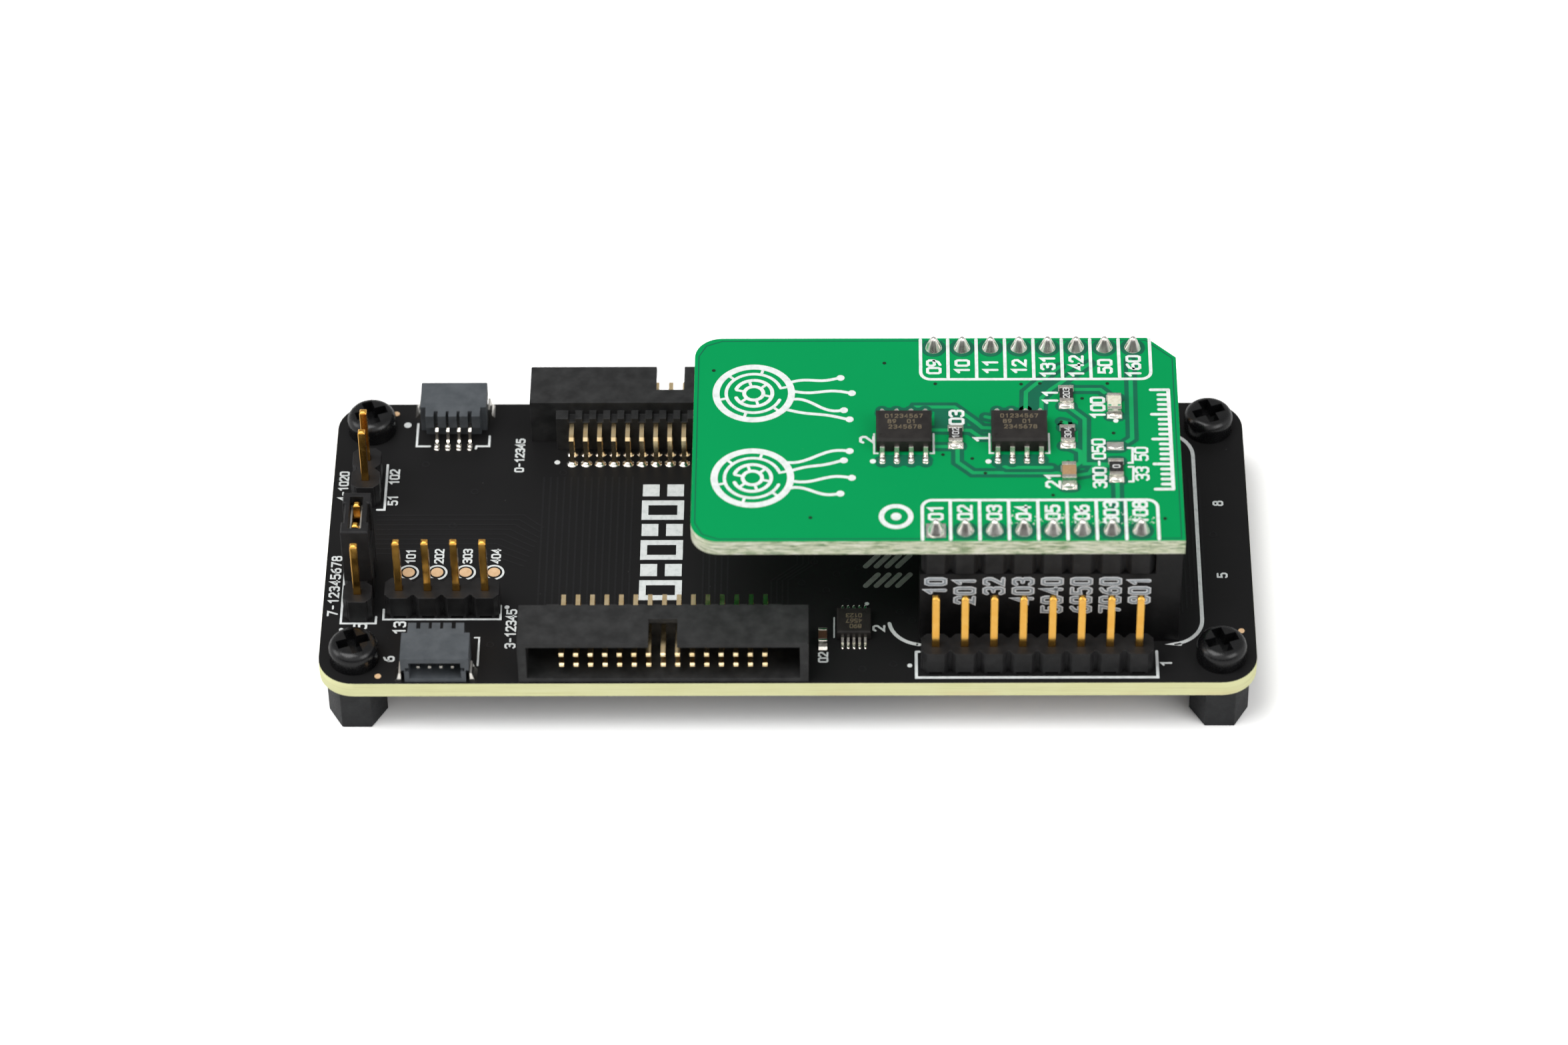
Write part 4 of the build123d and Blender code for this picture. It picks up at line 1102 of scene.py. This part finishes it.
def power_led_marks():
    """Two small green bars near the LED's front end."""
    MATS["led_mark"] = mottled("led_green_mark", (0.0, 0.32, 0.16), (0.0, 0.45, 0.22),
                               rough=(0.35, 0.5),
                               grain=dict(scale=5000.0, detail=3.0)).material
    art = art_above(top_of("power_led_body"), height=0.02, embed=0.01)
    led_x = SMALL_PARTS[-1][0]
    for offset in (-0.42, 0.42):
        art.box(led_x + offset, 3.5, 0.13, 0.08)
    art.finish("power_led_marks", "led_mark", ADDON)


def level_shifter_marks():
    art = art_above(top_of("level_shifter_body"), **MARK)
    for text, x, y in (("0123", 5.85, -10.3), ("4567", 5.85, -10.95), ("890", 6.0, -11.6)):
        art.number(text, x, y, 0.42, 0.08, turn=180)
    art.finish("level_shifter_marks", "mark", CARRIER)


def addon_under_tracks():
    art = art_below(ADDON_UNDER, height=0.008)
    for i, x in enumerate(steps(-6.0, 2.2, 6)):
        art.line([(x, -9.5), (x, 1.0 + 0.8 * i), (x + 2.5, 3.5 + 0.8 * i)], 0.3)
    for x in steps(13.0, 4.2, 5):
        art.line([(x, -8.6), (x, -3.0), (x + 2.0, -1.0), (x + 2.0, 8.2)], 0.3)
    art.finish("addon_under_tracks", "dark_green", ADDON)


carrier_silkscreen()
carrier_hatch()
carrier_tracks()
carrier_top_solder()
level_shifter_solder()
carrier_under_rings()
carrier_under_tracks()
carrier_under_silkscreen()
socket_numerals("socket_numeral_outlines", "label_line", high=0.014, width=0.40)
socket_numerals("socket_numeral_fills", "label_fill", high=0.027, width=0.19)
addon_clearances()
addon_tracks()
addon_vias()
addon_silkscreen()
addon_solder_cones()
addon_pads()
addon_solder_beads()
addon_flux_residue()
memory_chip_marks()
resistor_marks()
power_led_marks()
level_shifter_marks()
addon_under_tracks()


# ----------------------------------------------------------------------- stage
def floor_material():
    """Pale, brighter to the camera, and clear from below to show the underside."""
    mat = Mat("pale_floor")
    mat.tree.nodes.remove(mat.shader)
    tone = mat.ramp(mat.noise(40.0, detail=2.0), (0.3, 0.84), (0.7, 0.87))
    seen = mat.node("LightPath").outputs["Is Camera Ray"]
    diffuse = mat.node("BsdfDiffuse", {"Color": mat.mix(seen, tone, (1.62, 1.62, 1.61))})
    below = mat.node("NewGeometry").outputs["Backfacing"]
    clear = mat.node("BsdfTransparent")
    both = mat.node("MixShader", {0: below, 1: diffuse.outputs[0], 2: clear.outputs[0]})
    mat.feed(mat.output.inputs[0], both.outputs[0])
    return mat.material


def floor():
    half = 3.0
    mesh = bpy.data.meshes.new("floor")
    corners = [(-half, -half, 0), (half, -half, 0), (half, half, 0), (-half, half, 0)]
    mesh.from_pydata(corners, [], [(0, 1, 2, 3)])
    plane = bpy.data.objects.new("floor", mesh)
    bpy.context.scene.collection.objects.link(plane)
    mesh.materials.append(floor_material())


def soft_world():
    """Even white light; reflections see pale walls, dark behind and low in front."""
    sky, wall, dark = 0.32, 1.0, 0.42            # strengths
    world = bpy.data.worlds.new("soft_white")
    bpy.context.scene.world = world
    world.use_nodes = True
    graph = Graph(world.node_tree)
    output = graph.node("OutputWorld")
    background = graph.node("Background", {0: (1.0, 1.0, 1.0)})
    graph.feed(output.inputs[0], background.outputs[0])
    coords = graph.node("TexCoord").outputs["Generated"]
    toward_rear = graph.node("VectorMath", {0: coords, 1: (0.0, 0.74, 0.67)},
                             operation="DOT_PRODUCT").outputs["Value"]
    walls = graph.remap(toward_rear, span=(0.10, 0.72), to=(wall, dark), curve="SMOOTHSTEP")
    axes = graph.split(coords)
    front = graph.remap(axes[1], span=(-0.75, -0.25), to=(0.88, 0.0), curve="SMOOTHSTEP")
    low = graph.remap(axes[2], span=(0.18, 0.50), to=(1.0, 0.0), curve="SMOOTHSTEP")
    band = graph.math("SUBTRACT", 1.0, graph.math("MULTIPLY", front, low))
    reflected = graph.math("MULTIPLY", walls, band)
    glossy = graph.node("LightPath").outputs["Is Glossy Ray"]
    strength = graph.node("Mix", {0: glossy, 2: sky, 3: reflected}, data_type="FLOAT")
    graph.feed(background.inputs[1], strength.outputs[0])


def area_light(name, location, size, power):
    """A square light aimed just above the middle of the floor."""
    light = bpy.data.lights.new(name, "AREA")
    light.shape = "RECTANGLE"
    light.size = light.size_y = size
    light.energy = power
    lamp = bpy.data.objects.new(name, light)
    bpy.context.scene.collection.objects.link(lamp)
    lamp.location = location
    lamp.rotation_mode = "QUATERNION"
    aim = Vector((0, 0, 0.01)) - Vector(location)
    lamp.rotation_quaternion = aim.to_track_quat("-Z", "Y")


def camera():
    """Looks down from the front, swung slightly right and rolled."""
    swing, height, roll = (math.radians(d) for d in (1.126, 45.55, -0.92))
    target = Vector((-0.43, 2.22, 6.6)) * MILLI
    distance = 0.5358
    lens = bpy.data.cameras.new("camera")
    holder = bpy.data.objects.new("camera", lens)
    bpy.context.scene.collection.objects.link(holder)
    bpy.context.scene.camera = holder
    back = Vector((math.sin(swing) * math.cos(height), -math.cos(swing) * math.cos(height),
                   math.sin(height)))
    right = (-back).cross(Vector((0, 0, 1))).normalized()
    above = right.cross(-back)
    axes = (right * math.cos(roll) + above * math.sin(roll),
            -right * math.sin(roll) + above * math.cos(roll), back)
    turn = Matrix(axes).transposed().to_4x4()
    holder.matrix_world = Matrix.Translation(target + back * distance) @ turn
    lens.sensor_width = 36.0
    lens.lens = 136.96
    lens.clip_start, lens.clip_end = 0.01, 20.0
    lens.dof.use_dof = True
    lens.dof.focus_distance = 0.533
    lens.dof.aperture_fstop = 22.0


floor()
soft_world()
area_light("key_soft", location=(-0.16, -0.08, 0.50), size=0.34, power=1.65)
area_light("fill_right", location=(0.34, -0.26, 0.34), size=0.28, power=0.70)
area_light("fill_left", location=(-0.46, -0.02, 0.26), size=0.24, power=0.50)
camera()
